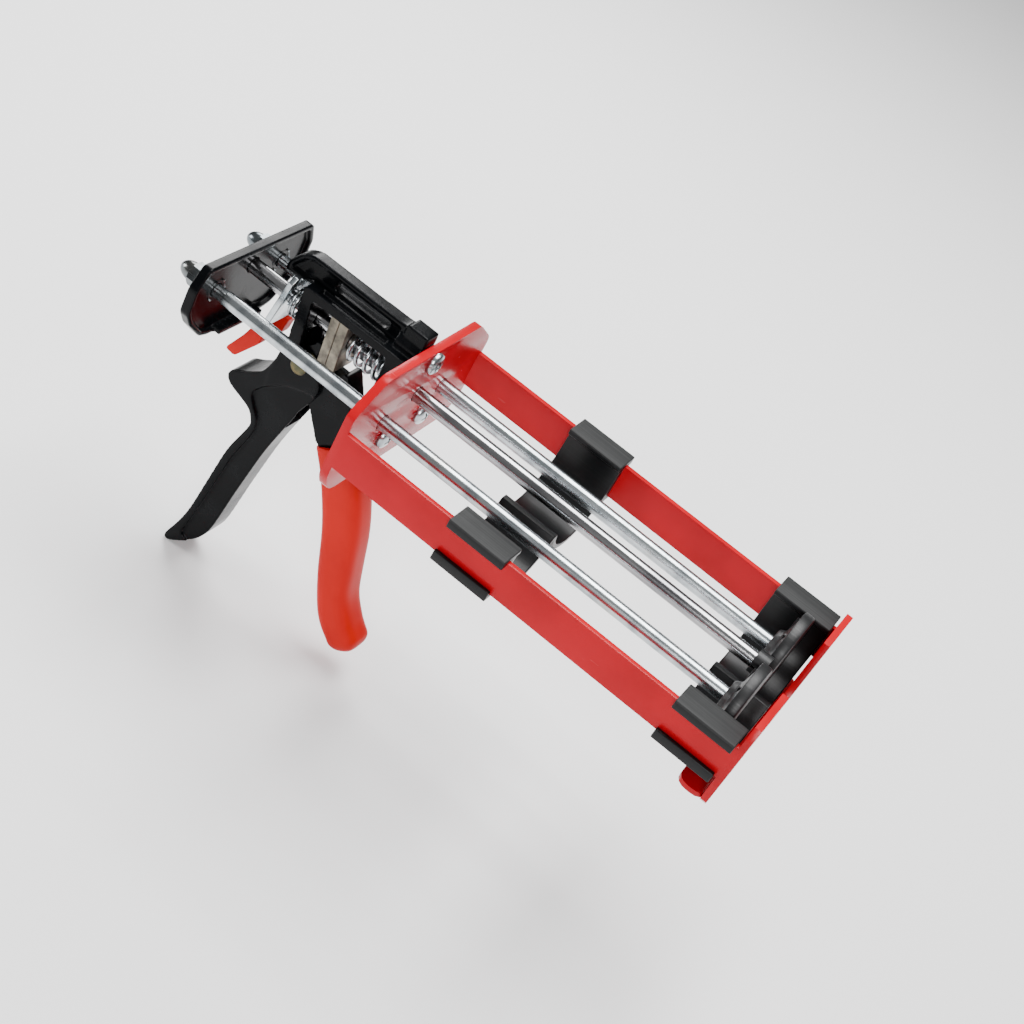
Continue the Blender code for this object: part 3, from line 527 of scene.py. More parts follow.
@dataclass(frozen=True)
class SinteredSteel:
    """Porous brown-grey sintered plate."""

    name: str = "sintered_plate"
    colour: Colour = (0.30, 0.27, 0.21)
    dark: Colour = (0.11, 0.10, 0.085)
    slot: Slot = Slot.SINTERED

    def build(self) -> bpy.types.Material:
        """Make the material."""
        graph = Graph(self.name)
        pore = graph.cells(2200.0).step(0.05, 0.32)
        cloud = graph.noise(160.0, 4.0)
        graph.surface({
            "Base Color": graph.blend(cloud.step(0.35, 0.7), self.colour, self.dark),
            "Metallic": 0.85,
            "Roughness": 0.46 + 0.20 * cloud,
        })
        graph.bump(pore + 0.5 * cloud, 0.07 * MM, 0.6)
        return graph.material


@dataclass(frozen=True)
class YellowPlate:
    """Zinc with a yellow chromate tint that drifts in hue."""

    name: str = "yellow_chromate"
    colour: Colour = (0.12, 0.098, 0.050)
    green: Colour = (0.06, 0.063, 0.040)
    slot: Slot = Slot.YELLOW

    def build(self) -> bpy.types.Material:
        """Make the material."""
        graph = Graph(self.name)
        hue = graph.noise(320.0, 3.0)
        pit = graph.noise(2600.0, 2.0)
        graph.surface({
            "Base Color": graph.blend(hue.step(0.38, 0.66), self.colour, self.green),
            "Metallic": 1.0,
            "Roughness": 0.24 + 0.18 * hue,
        })
        graph.bump(pit, 0.03 * MM, 0.4)
        return graph.material


@dataclass(frozen=True)
class FloorPaper:
    """Pale studio paper."""

    name: str = "studio_paper"
    colour: Colour = (0.93, 0.93, 0.93)
    shaded: Colour = (0.90, 0.90, 0.905)

    def build(self) -> bpy.types.Material:
        """Make the material."""
        graph = Graph(self.name)
        fibre = graph.noise(400.0, 3.0)
        graph.surface({
            "Base Color": graph.blend(fibre * 0.25, self.colour, self.shaded),
            "Roughness": 0.85 + 0.1 * fibre,
        })
        return graph.material


@dataclass
class Palette:
    """Every finish of the gun, made once."""

    made: Dict[Slot, bpy.types.Material] = field(default_factory=dict)

    def build(self) -> None:
        """Make all finishes."""
        for finish in (GlossCasting(), RedPaint(), DippedVinyl(), MouldedPlastic(), ZincPlate(),
                       PolishedSteel(), SinteredSteel(), YellowPlate()):
            self.made[finish.slot] = finish.build()

    def dress(self, piece: bpy.types.Object, slot: Slot) -> None:
        """Give a piece its finish.

        Args:
            piece: the piece.
            slot: which finish.
        """
        piece.data.materials.clear()
        piece.data.materials.append(self.made[slot])


# ---- mesh tools ----


def ring_points(radius: float, centre: Point = (0.0, 0.0), sides: int = 64) -> List[Point]:
    """Points of a circle.

    Args:
        radius: the circle's radius.
        centre: the circle's centre.
        sides: how many points.

    Returns:
        The points in order.
    """
    angles = [2 * math.pi * index / sides for index in range(sides)]
    return [(centre[0] + radius * math.cos(a), centre[1] + radius * math.sin(a)) for a in angles]


def in_mm(points: Sequence[Point]) -> List[Point]:
    """Turn an outline given in millimetres into metres."""
    return [(u * MM, v * MM) for u, v in points]


def oblong(left: float, low: float, right: float, high: float) -> List[Point]:
    """Corners of a rectangle."""
    return [(left, low), (right, low), (right, high), (left, high)]


def box_of(node: str) -> Tuple[Vector, Vector]:
    """Lowest and highest corner of a CAD node's box."""
    low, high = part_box(node)
    return Vector(low), Vector(high)


def linked(name: str, data: bpy.types.ID) -> bpy.types.Object:
    """Put some data into the scene as an object.

    Args:
        name: the object's name.
        data: its mesh, curve, light or camera.

    Returns:
        The object.
    """
    made = bpy.data.objects.new(name, data)
    bpy.context.scene.collection.objects.link(made)
    return made


def from_shape(shape: bmesh.types.BMesh, name: str) -> bpy.types.Object:
    """Make an object of a finished shape, and free the shape.

    Args:
        shape: the shape.
        name: name of the object and its mesh.

    Returns:
        The object.
    """
    mesh = bpy.data.meshes.new(name)
    shape.to_mesh(mesh)
    shape.free()
    return linked(name, mesh)


def curve_mesh(curve: bpy.types.Curve) -> bpy.types.Mesh:
    """Mesh of a curve with its bevel, extrusion and caps."""
    holder = linked("curve", curve)
    mesh = bpy.data.meshes.new_from_object(holder.evaluated_get(bpy.context.evaluated_depsgraph_get()))
    bpy.data.objects.remove(holder, do_unlink=True)
    return mesh


def solid(loops: Sequence[Sequence[Point]], axis: Axis, low: float, high: float) -> bpy.types.Object:
    """Extrude an outline with holes.

    Args:
        loops: the outline and its holes, as (Y, Z) for axis X or (X, Z) for axis Y.
        axis: extrusion axis, X or Y.
        low: lower height along the axis.
        high: upper height along the axis.

    Returns:
        The extruded piece, with its mesh in world place.
    """
    curve = bpy.data.curves.new("outline", "CURVE")
    curve.dimensions = "2D"
    curve.fill_mode = "BOTH"
    curve.extrude = (high - low) / 2
    for loop in loops:
        spline = curve.splines.new("POLY")
        spline.points.add(len(loop) - 1)
        for point, (u, v) in zip(spline.points, loop):
            point.co = (u, v, 0.0, 1.0)
        spline.use_cyclic_u = True
    mesh = curve_mesh(curve)
    shape = bmesh.new()
    shape.from_mesh(mesh)
    bmesh.ops.remove_doubles(shape, verts=shape.verts, dist=1e-6)
    frames = {
        Axis.X: Matrix(((0, 0, 1, 0), (1, 0, 0, 0), (0, 1, 0, 0), (0, 0, 0, 1))),
        Axis.Y: Matrix(((1, 0, 0, 0), (0, 0, -1, 0), (0, 1, 0, 0), (0, 0, 0, 1))),
    }
    sign = -1.0 if axis is Axis.Y else 1.0
    middle = Matrix.Translation((0.0, 0.0, sign * (high + low) / 2))
    bmesh.ops.transform(shape, matrix=frames[axis] @ middle, verts=shape.verts)
    bmesh.ops.dissolve_limit(shape, angle_limit=math.radians(0.5), verts=shape.verts, edges=shape.edges)
    bmesh.ops.recalc_face_normals(shape, faces=shape.faces)
    shape.to_mesh(mesh)
    shape.free()
    return linked("solid", mesh)


def lathe(profile: Sequence[Point], centre: Triple, axis: Axis, sides: int = 64) -> bpy.types.Object:
    """Turn a profile about an axis.

    Args:
        profile: (radius, height) points.
        centre: a point on the axis that heights count from.
        axis: the axis, X or Y.
        sides: facets round the piece.

    Returns:
        The turned piece, with its mesh in world place.
    """
    shape = bmesh.new()
    loops: List[List[bmesh.types.BMVert]] = []
    for radius, height in profile:
        if radius < 1e-7:
            loops.append([shape.verts.new((0.0, 0.0, height))])
            continue
        loops.append([shape.verts.new((u, v, height)) for u, v in ring_points(radius, sides=sides)])
    for one, two in zip(loops, loops[1:]):
        for index in range(sides):
            after = (index + 1) % sides
            corners = [one[index % len(one)], one[after % len(one)],
                       two[after % len(two)], two[index % len(two)]]
            unique = list(dict.fromkeys(corners))
            if len(unique) > 2:
                shape.faces.new(unique)
    turns = {Axis.X: Euler((0, math.pi / 2, 0)), Axis.Y: Euler((-math.pi / 2, 0, 0))}
    place = Matrix.Translation(centre) @ turns[axis].to_matrix().to_4x4()
    bmesh.ops.transform(shape, matrix=place, verts=shape.verts)
    bmesh.ops.recalc_face_normals(shape, faces=shape.faces)
    return from_shape(shape, "turned")


def along(points: Sequence[Point], count: int) -> List[Vector]:
    """Even steps along a smooth curve through points.

    Args:
        points: the curve's points.
        count: how many steps.

    Returns:
        The spots, first and last included.
    """
    spots = [Vector(point) for point in points]
    spots = [2 * spots[0] - spots[1]] + spots + [2 * spots[-1] - spots[-2]]
    spans = len(points) - 1
    made = []
    for index in range(count + 1):
        place = spans * index / count
        span = min(spans - 1, int(place))
        t = place - span
        a, b, c, d = spots[span:span + 4]
        made.append(0.5 * (2 * b + (c - a) * t + (2 * a - 5 * b + 4 * c - d) * t ** 2
                           + (3 * b - a - 3 * c + d) * t ** 3))
    return made


def node_copy(node: str) -> bpy.types.Object:
    """Copy a CAD node's mesh, with its flat faces made whole again.

    Args:
        node: the node's name.

    Returns:
        The copy.
    """
    mesh = bpy.data.objects[node].data.copy()
    shape = bmesh.new()
    shape.from_mesh(mesh)
    bmesh.ops.remove_doubles(shape, verts=shape.verts, dist=2e-6)
    bmesh.ops.dissolve_limit(shape, angle_limit=math.radians(0.8), verts=shape.verts, edges=shape.edges)
    shape.to_mesh(mesh)
    shape.free()
    return linked(node + "_copy", mesh)


def settle(piece: bpy.types.Object) -> bpy.types.Object:
    """Apply a piece's modifiers to its mesh.

    Args:
        piece: the piece.

    Returns:
        The same piece.
    """
    seen = piece.evaluated_get(bpy.context.evaluated_depsgraph_get())
    mesh = bpy.data.meshes.new_from_object(seen)
    piece.modifiers.clear()
    piece.data = mesh
    return piece


def eased(piece: bpy.types.Object, width: float, segments: int = 3, angle: float = 28.0) -> bpy.types.Object:
    """Round a piece's edges.

    Args:
        piece: the piece.
        width: width of the rounding.
        segments: facets across it.
        angle: smallest corner in degrees that is rounded.

    Returns:
        The same piece.
    """
    step = piece.modifiers.new("ease", "BEVEL")
    step.width = width
    step.segments = segments
    step.limit_method = "ANGLE"
    step.angle_limit = math.radians(angle)
    step.use_clamp_overlap = True
    return settle(piece)


def moulded(piece: bpy.types.Object, voxel: float, passes: int) -> bpy.types.Object:
    """Give a piece the soft edges of a casting or moulding.

    Args:
        piece: the piece.
        voxel: size of the even mesh that is laid over it.
        passes: how often its edges are softened.

    Returns:
        The same piece.
    """
    even = piece.modifiers.new("even", "REMESH")
    even.mode = "VOXEL"
    even.voxel_size = voxel
    soft = piece.modifiers.new("soft", "SMOOTH")
    soft.factor = 0.5
    soft.iterations = passes
    return settle(piece)


def combined(piece: bpy.types.Object, other: bpy.types.Object, way: Join) -> bpy.types.Object:
    """Combine a helper with a piece, and remove the helper.

    Args:
        piece: the piece.
        other: the helper.
        way: how they are combined.

    Returns:
        The same piece.
    """
    step = piece.modifiers.new("shape", "BOOLEAN")
    step.operation = way.value
    step.solver = "EXACT"
    step.object = other
    settle(piece)
    bpy.data.objects.remove(other, do_unlink=True)
    return piece


def merged(pieces: Sequence[bpy.types.Object]) -> bpy.types.Object:
    """Put several meshes into one object.

    Args:
        pieces: the objects, which are used up.

    Returns:
        The object that holds them all.
    """
    shape = bmesh.new()
    for piece in pieces:
        shape.from_mesh(piece.data)
    for piece in pieces:
        bpy.data.objects.remove(piece, do_unlink=True)
    return from_shape(shape, "merged")


def wire(points: Sequence[Vector], radius: float) -> bpy.types.Object:
    """Round wire along a path.

    Args:
        points: the path.
        radius: the wire's radius.

    Returns:
        The wire as a mesh.
    """
    curve = bpy.data.curves.new("wire", "CURVE")
    curve.dimensions = "3D"
    curve.bevel_depth = radius
    curve.bevel_resolution = 5
    curve.use_fill_caps = True
    spline = curve.splines.new("POLY")
    spline.points.add(len(points) - 1)
    for point, spot in zip(spline.points, points):
        point.co = (*spot, 1.0)
    return linked("wire", curve_mesh(curve))


@dataclass
class Shop:
    """Names, dresses and mounts finished pieces, one for each CAD node."""

    palette: Palette

    def stand(self, piece: bpy.types.Object, node: str, body: Body, slot: Slot,
              angle: float = PLAIN_CORNER, name: str = "") -> None:
        """Finish a piece and mount it.

        Args:
            piece: the piece.
            node: the CAD node that it stands for.
            body: the body that it rides on.
            slot: its finish.
            angle: corner in degrees from which an edge stays sharp.
            name: its name, where it isn't the node's name with _finished after it.
        """
        piece.name = name or node + "_finished"
        piece.data.name = piece.name
        piece.data.shade_smooth()
        piece.data.set_sharp_from_angle(angle=math.radians(angle))
        self.palette.dress(piece, slot)
        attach(piece, body.value)
        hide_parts(node)
        LOG.info("%s: %d faces on %s", piece.name, len(piece.data.polygons), body.value)


# ---- sub-assemblies ----


@dataclass
class Casting:
    """Black housing with fin and handle."""

    voxel: float = 0.55 * MM
    passes: int = 4

    def build(self, shop: Shop) -> None:
        """Build the casting, with its edges softened."""
        piece = moulded(node_copy("body_casting"), self.voxel, self.passes)
        shop.stand(piece, "body_casting", Body.FRAME, Slot.CASTING, CAST_CORNER, "casting_finished")


@dataclass
class Carriage:
    """Red sheet-metal carriage with its pan-head screws."""

    edge: float = 0.55 * MM
    corner: float = 25.0
    head_height: float = 3.2 * MM
    shank: float = 2.9 * MM
    crown_rise: float = 0.42
    crown_steps: int = 9
    crown_step: float = 9.0
    recess: float = 1.7 * MM
    cross_reach: float = 2.7 * MM
    cross_half: float = 0.5 * MM
    cross_turn: float = 0.4

    def build(self, shop: Shop) -> None:
        """Build the carriage and the three screws."""
        piece = eased(node_copy("carriage"), self.edge, 3, self.corner)
        shop.stand(piece, "carriage", Body.FRAME, Slot.PAINT)
        for node in ("carriage_screw_top", "carriage_screw_near", "carriage_screw_far"):
            self.screw(shop, node)

    def screw(self, shop: Shop, node: str) -> None:
        """Build a pan-head screw with a cross recess.

        Args:
            shop: mounts the piece.
            node: the CAD node it stands for.
        """
        low, high = box_of(node)
        centre = (low + high) / 2
        head = (high.z - low.z) / 2
        top = high.x
        seat = top - self.head_height
        turns = [math.radians(step * self.crown_step) for step in range(self.crown_steps)]
        crown = [(head * math.sin(a), top - head * self.crown_rise * (1 - math.cos(a))) for a in turns]
        rim = [(head, seat + 0.5 * MM), (head - 0.15 * MM, seat)]
        shank = [(self.shank, seat), (self.shank, low.x), (0.0, low.x)]
        piece = lathe(crown + rim + shank, (0.0, centre.y, centre.z), Axis.X, 48)
        slot = oblong(-self.cross_reach, -self.cross_half, self.cross_reach, self.cross_half)
        for turn in (self.cross_turn, self.cross_turn + math.pi / 2):
            bar = solid([slot], Axis.X, top - self.recess, top + MM)
            bar.data.transform(Matrix.Translation((0.0, centre.y, centre.z)) @ Matrix.Rotation(turn, 4, "X"))
            combined(piece, bar, Join.CUT)
        shop.stand(piece, node, Body.FRAME, Slot.ZINC, SCREW_CORNER)


@dataclass
class Saddles:
    """Two black saddles that hang on the rails."""

    edge: float = 0.5 * MM
    corner: float = 25.0

    def build(self, shop: Shop) -> None:
        """Build both saddles."""
        finish = SaddlePlastic().build()
        for node in ("saddle_mid", "saddle_front"):
            piece = eased(node_copy(node), self.edge, 3, self.corner)
            shop.stand(piece, node, Body.FRAME, Slot.PLASTIC)
            piece.data.materials[0] = finish


@dataclass
class RodSet:
    """Push rods, drive rod, their nuts, pushers and cap."""

    rod: float = 3.5 * MM
    rod_tip: float = 0.6 * MM
    rod_bevel: float = 0.5 * MM
    rod_tail: float = 0.4 * MM
    thread: float = 3.0 * MM
    seat_gap: float = 0.3 * MM
    clearance: float = 0.1 * MM
    flats: float = 10.0 * MM
    nut_face: float = 0.97
    nut_chamfer: float = 0.55 * MM
    acorn_height: float = 6.5 * MM
    dome: float = 4.3 * MM
    dome_steps: int = 12
    pusher_rim: float = 5.0 * MM
    pusher_hub: float = 8.0 * MM
    pusher_web: float = 1.0 * MM
    ribs: int = 6
    rib_start: float = 7.6 * MM
    rib_end: float = 15.6 * MM
    rib_half: float = 0.6 * MM
    rib_rise: float = 1.2 * MM
    rib_root: float = 0.6 * MM
    rib_edge: float = 0.3 * MM
    cap_edge: float = 0.4 * MM
    cap_corner: float = 30.0

    def build(self, shop: Shop) -> None:
        """Build everything that rides on the rods."""
        # A darker copy of the zinc plating: painted shade for the nuts, which sit in shadow at the yoke.
        dark = ZincPlate("zinc_plating_dark", (0.17, 0.19, 0.20), (0.08, 0.09, 0.10), (0.16, 0.15, 0.13))
        plating = dark.build()
        for side in Side:
            self.push_rod(shop, side)
            self.hex_nut(shop, side, plating)
            self.acorn_nut(shop, side, plating)
            self.pusher(shop, side)
        self.drive_rod(shop)

    def push_rod(self, shop: Shop, side: Side) -> None:
        """Build one push rod, chamfered at its shoulders.

        Args:
            shop: mounts the piece.
            side: which of the two.
        """
        node = "push_rod_" + side.value
        low, high = box_of(node)
        seat = box_of("hex_nut_" + side.value)[1].x + self.seat_gap
        profile = [(0.0, high.x), (self.rod - self.rod_tip, high.x), (self.rod, high.x - self.rod_tip),
                   (self.rod, seat + self.rod_bevel), (self.rod - self.rod_bevel, seat),
                   (self.thread, seat), (self.thread, low.x), (0.0, low.x)]
        shop.stand(lathe(profile, (0.0, (low.y + high.y) / 2, 0.0), Axis.X), node, Body.RODS, Slot.ZINC)

    def hexagon(self, node: str, rear: float) -> bpy.types.Object:
        """Hexagonal nut body with its corners turned back at both faces.

        Args:
            node: the nut's node, which gives its place and its front face.
            rear: X of its rear face.

        Returns:
            The nut without a bore.
        """
        low, high = box_of(node)
        y = (low.y + high.y) / 2
        corner = self.flats / math.sqrt(3)
        outer = corner + 0.01 * MM
        flat = self.flats / 2 * self.nut_face
        piece = solid([ring_points(corner, (y, 0.0), 6)], Axis.X, rear, high.x)
        cone = [(0.0, high.x), (flat, high.x), (outer, high.x - self.nut_chamfer),
                (outer, rear + self.nut_chamfer), (flat, rear), (0.0, rear)]
        return combined(piece, lathe(cone, (0.0, y, 0.0), Axis.X, 96), Join.COMMON)

    def hex_nut(self, shop: Shop, side: Side, plating: bpy.types.Material) -> None:
        """Build the hex nut in front of the yoke.

        Args:
            shop: mounts the piece.
            side: which of the two.
            plating: a darker copy of the zinc plating, with shade painted in.
        """
        node = "hex_nut_" + side.value
        low, high = box_of(node)
        hole = ring_points(self.thread + self.clearance, ((low.y + high.y) / 2, 0.0))
        piece = combined(self.hexagon(node, low.x), solid([hole], Axis.X, low.x - MM, high.x + MM), Join.CUT)
        shop.stand(piece, node, Body.RODS, Slot.ZINC, NUT_CORNER)
        # Painted shade: the nut takes the darker copy of the zinc plating.
        piece.data.materials[0] = plating

    def acorn_nut(self, shop: Shop, side: Side, plating: bpy.types.Material) -> None:
        """Build the acorn nut behind the yoke.

        Args:
            shop: mounts the piece.
            side: which of the two.
            plating: a darker copy of the zinc plating, with shade painted in.
        """
        node = "acorn_nut_" + side.value
        low, high = box_of(node)
        rear = high.x - self.acorn_height
        depth = rear - low.x
        turns = [math.radians(90.0 * step / self.dome_steps) for step in range(1, self.dome_steps)]
        profile = [(0.0, rear + MM), (self.dome, rear + MM), (self.dome, rear)]
        profile += [(self.dome * math.cos(a), rear - depth * math.sin(a)) for a in turns] + [(0.0, low.x)]
        dome = lathe(profile, (0.0, (low.y + high.y) / 2, 0.0), Axis.X)
        piece = merged([self.hexagon(node, rear), dome])
        shop.stand(piece, node, Body.RODS, Slot.ZINC, NUT_CORNER)
        # Painted shade: the nut takes the darker copy of the zinc plating.
        piece.data.materials[0] = plating

    def pusher(self, shop: Shop, side: Side) -> None:
        """Build a pusher disc with a sloping shoulder, a hub and shallow radial ribs.

        Args:
            shop: mounts the piece.
            side: which of the two.
        """
        node = "pusher_" + side.value
        low, high = box_of(node)
        y = (low.y + high.y) / 2
        radius = (high.z - low.z) / 2
        front = high.x
        rear = front - self.pusher_rim
        hub = self.pusher_hub
        bore = self.rod + self.clearance
        face = [(0.0, front), (radius - 1.2 * MM, front), (radius - 0.35 * MM, front - 0.35 * MM)]
        rim = [(radius, front - 1.2 * MM), (radius, rear + 0.7 * MM), (radius - 0.2 * MM, rear + 0.2 * MM),
               (radius - 0.7 * MM, rear)]
        shoulder = [(radius - 3.2 * MM, rear), (hub + 1.4 * MM, rear - 1.1 * MM),
                    (hub + 0.4 * MM, rear - 1.5 * MM), (hub, rear - 2.0 * MM)]
        neck = [(hub - 0.7 * MM, low.x + 0.5 * MM), (hub - 1.4 * MM, low.x), (bore, low.x),
                (bore, front - self.pusher_web), (0.0, front - self.pusher_web)]
        parts = [lathe(face + rim + shoulder + neck, (0.0, y, 0.0), Axis.X, 96)]
        outline = oblong(self.rib_start, -self.rib_half, self.rib_end, self.rib_half)
        for index in range(self.ribs):
            rib = solid([outline], Axis.X, rear - self.rib_rise, rear + self.rib_root)
            eased(rib, self.rib_edge, 2)
            turn = Matrix.Rotation(2 * math.pi / self.ribs * index, 4, "X")
            rib.data.transform(Matrix.Translation((0.0, y, 0.0)) @ turn)
            parts.append(rib)
        shop.stand(merged(parts), node, Body.RODS, Slot.PLASTIC)

    def drive_rod(self, shop: Shop) -> None:
        """Build the drive rod and its front cap."""
        low, high = box_of("drive_rod")
        centre = (0.0, 0.0, (low.z + high.z) / 2)
        radius = (high.z - low.z) / 2
        profile = [(0.0, high.x), (radius - self.rod_bevel, high.x), (radius, high.x - self.rod_bevel),
                   (radius, low.x + self.rod_tail), (radius - self.rod_tail, low.x), (0.0, low.x)]
        shop.stand(lathe(profile, centre, Axis.X), "drive_rod", Body.RODS, Slot.STEEL)
        piece = eased(node_copy("drive_rod_cap"), self.cap_edge, 3, self.cap_corner)
        shop.stand(piece, "drive_rod_cap", Body.RODS, Slot.PLASTIC)


@dataclass
class Yoke:
    """Rear yoke that ties the rods together."""

    voxel: float = 0.45 * MM
    passes: int = 3

    def build(self, shop: Shop) -> None:
        """Build the yoke, with its edges softened."""
        piece = moulded(node_copy("yoke"), self.voxel, self.passes)
        shop.stand(piece, "yoke", Body.RODS, Slot.CASTING, CAST_CORNER)


@dataclass
class Trigger:
    """Trigger lever with its vinyl sleeve, pin and torsion spring."""

    lever_voxel: float = 0.5 * MM
    lever_passes: int = 3
    sleeve_voxel: float = 0.6 * MM
    sleeve_passes: int = 5
    half_width: float = 8.45 * MM
    core_half: float = 5.8 * MM
    squareness: float = 0.56
    around: int = 48
    stations: int = 40
    toe_steps: int = 10
    toe_drop: Point = (3.8, -5.0)
    toe_width: float = 0.35
    toe_reach: float = 0.04
    rear_line: Tuple[Point, ...] = (
        (-29.0, -46.5), (-20.3, -60), (-10.5, -80), (-2.5, -103), (4.0, -118), (9.5, -126.5), (16.5, -132.6))
    front_line: Tuple[Point, ...] = (
        (-12.8, -36.2), (-5.5, -44.5), (2, -58), (8.5, -74), (13.2, -92), (17.2, -106), (24.0, -116.5),
        (29.8, -122.5))
    core_line: Tuple[Point, ...] = (
        (-36, -42), (-26.2, -46.4), (-18.0, -60), (-8.0, -80), (0.0, -103), (6.5, -117), (13.5, -127),
        (21.0, -125.0), (21.5, -117.5), (14.5, -106), (10.6, -92), (6.0, -74), (-0.5, -58.5), (-7.4, -46.4),
        (-14.0, -38.6), (-20, -30))
    pin_radius: float = 2.5 * MM
    pin_end: float = 0.5 * MM
    pin_head: float = 1.5 * MM
    wire: float = 0.55 * MM
    coil: float = 4.4 * MM
    turns: float = 3.25
    coil_steps: int = 110
    coil_start: float = -5.2 * MM
    coil_length: float = 3.4 * MM
    leg_top: Triple = (-5.2 * MM, -5.2 * MM, 7.5 * MM)
    leg_bend: Triple = (-4.4 * MM, -5.2 * MM, 0.5 * MM)
    leg_end: Triple = (2.4 * MM, 0.0, -0.2 * MM)

    def build(self, shop: Shop) -> None:
        """Build the trigger's pieces."""
        lever = moulded(node_copy("trigger_lever"), self.lever_voxel, self.lever_passes)
        shop.stand(lever, "trigger_lever", Body.TRIGGER, Slot.CASTING, CAST_CORNER)
        sleeve = moulded(self.grip(), self.sleeve_voxel, self.sleeve_passes)
        shop.stand(sleeve, "trigger_sleeve", Body.TRIGGER, Slot.VINYL, DIPPED_CORNER)
        shop.stand(self.pin(), "pivot_pin", Body.FRAME, Slot.YELLOW)
        shop.stand(self.spring(), "trigger_spring", Body.FRAME, Slot.YELLOW)

    def grip(self) -> bpy.types.Object:
        """Hollow sleeve with a rounded section, lofted from its top down to its toe.

        Returns:
            The sleeve, open at its top.
        """
        rear = along(in_mm(self.rear_line), self.stations)
        front = along(in_mm(self.front_line), self.stations)
        sections = [(a, b, self.half_width) for a, b in zip(rear, front)]
        last_rear, last_front, _ = sections[-1]
        middle = (last_rear + last_front) / 2
        for step in range(1, self.toe_steps + 1):
            share = step / self.toe_steps
            keep = math.sqrt(max(0.0, 1.0 - share ** 2))
            drop = Vector(self.toe_drop) * MM * share
            reach = (last_front - last_rear) / 2 * max(keep, self.toe_reach)
            half = self.half_width * (self.toe_width + (1.0 - self.toe_width) * keep)
            sections.append((middle + drop - reach, middle + drop + reach, half))
        shape = bmesh.new()
        rings = [[shape.verts.new(spot) for spot in self.section(*section)] for section in sections]
        for one, two in zip(rings, rings[1:]):
            for index in range(len(one)):
                after = (index + 1) % len(one)
                shape.faces.new((one[index], one[after], two[after], two[index]))
        shape.faces.new(rings[0])
        shape.faces.new(rings[-1])
        bmesh.ops.recalc_face_normals(shape, faces=shape.faces)
        core = solid([in_mm(self.core_line)], Axis.Y, -self.core_half, self.core_half)
        return combined(from_shape(shape, "grip"), core, Join.CUT)

    def section(self, rear: Vector, front: Vector, half: float) -> List[Triple]:
        """One rounded section of the sleeve.

        Args:
            rear: its rear point, as (X, Z).
            front: its front point, as (X, Z).
            half: half its width.

        Returns:
            The section's points, in order round it.
        """
        middle = (rear + front) / 2
        reach = (front - rear) / 2
        spots = []
        for index in range(self.around):
            turn = 2 * math.pi * index / self.around
            u = math.copysign(abs(math.cos(turn)) ** self.squareness, math.cos(turn))
            v = math.copysign(abs(math.sin(turn)) ** self.squareness, math.sin(turn))
            spots.append((middle.x + reach.x * u, half * v, middle.y + reach.y * u))
        return spots

    def pin(self) -> bpy.types.Object:
        """Headed pivot pin."""
        low, high = box_of("pivot_pin")
        centre = ((low.x + high.x) / 2, 0.0, (low.z + high.z) / 2)
        radius = (high.x - low.x) / 2
        under = low.y + self.pin_head
        shank = [(0.0, high.y), (self.pin_radius - self.pin_end, high.y),
                 (self.pin_radius, high.y - self.pin_end), (self.pin_radius, under)]
        head = [(radius, under), (radius, low.y + 0.7 * MM), (radius - 0.7 * MM, low.y + 0.15 * MM),
                (radius * 0.4, low.y), (0.0, low.y)]
        return lathe(shank + head, centre, Axis.Y)

    def spring(self) -> bpy.types.Object:
        """Torsion spring round the pivot."""
        low, high = box_of("pivot_pin")
        centre = Vector(((low.x + high.x) / 2, 0.0, (low.z + high.z) / 2))
        points = [Vector(self.leg_top), Vector(self.leg_bend)]
        for index in range(self.coil_steps + 1):
            share = index / self.coil_steps
            angle = math.pi - 2 * math.pi * self.turns * share
            points.append(Vector((self.coil * math.cos(angle), self.coil_start + self.coil_length * share,
                                  self.coil * math.sin(angle))))
        points.append(points[-1] + Vector(self.leg_end))
        return wire([point + centre for point in points], self.wire)


@dataclass(frozen=True)
class Coil:
    """Compression spring on the drive rod, and the joint that presses it."""

    node: str
    radius: float
    turns: float
    wire: float
    joint: Joint
    travel: float


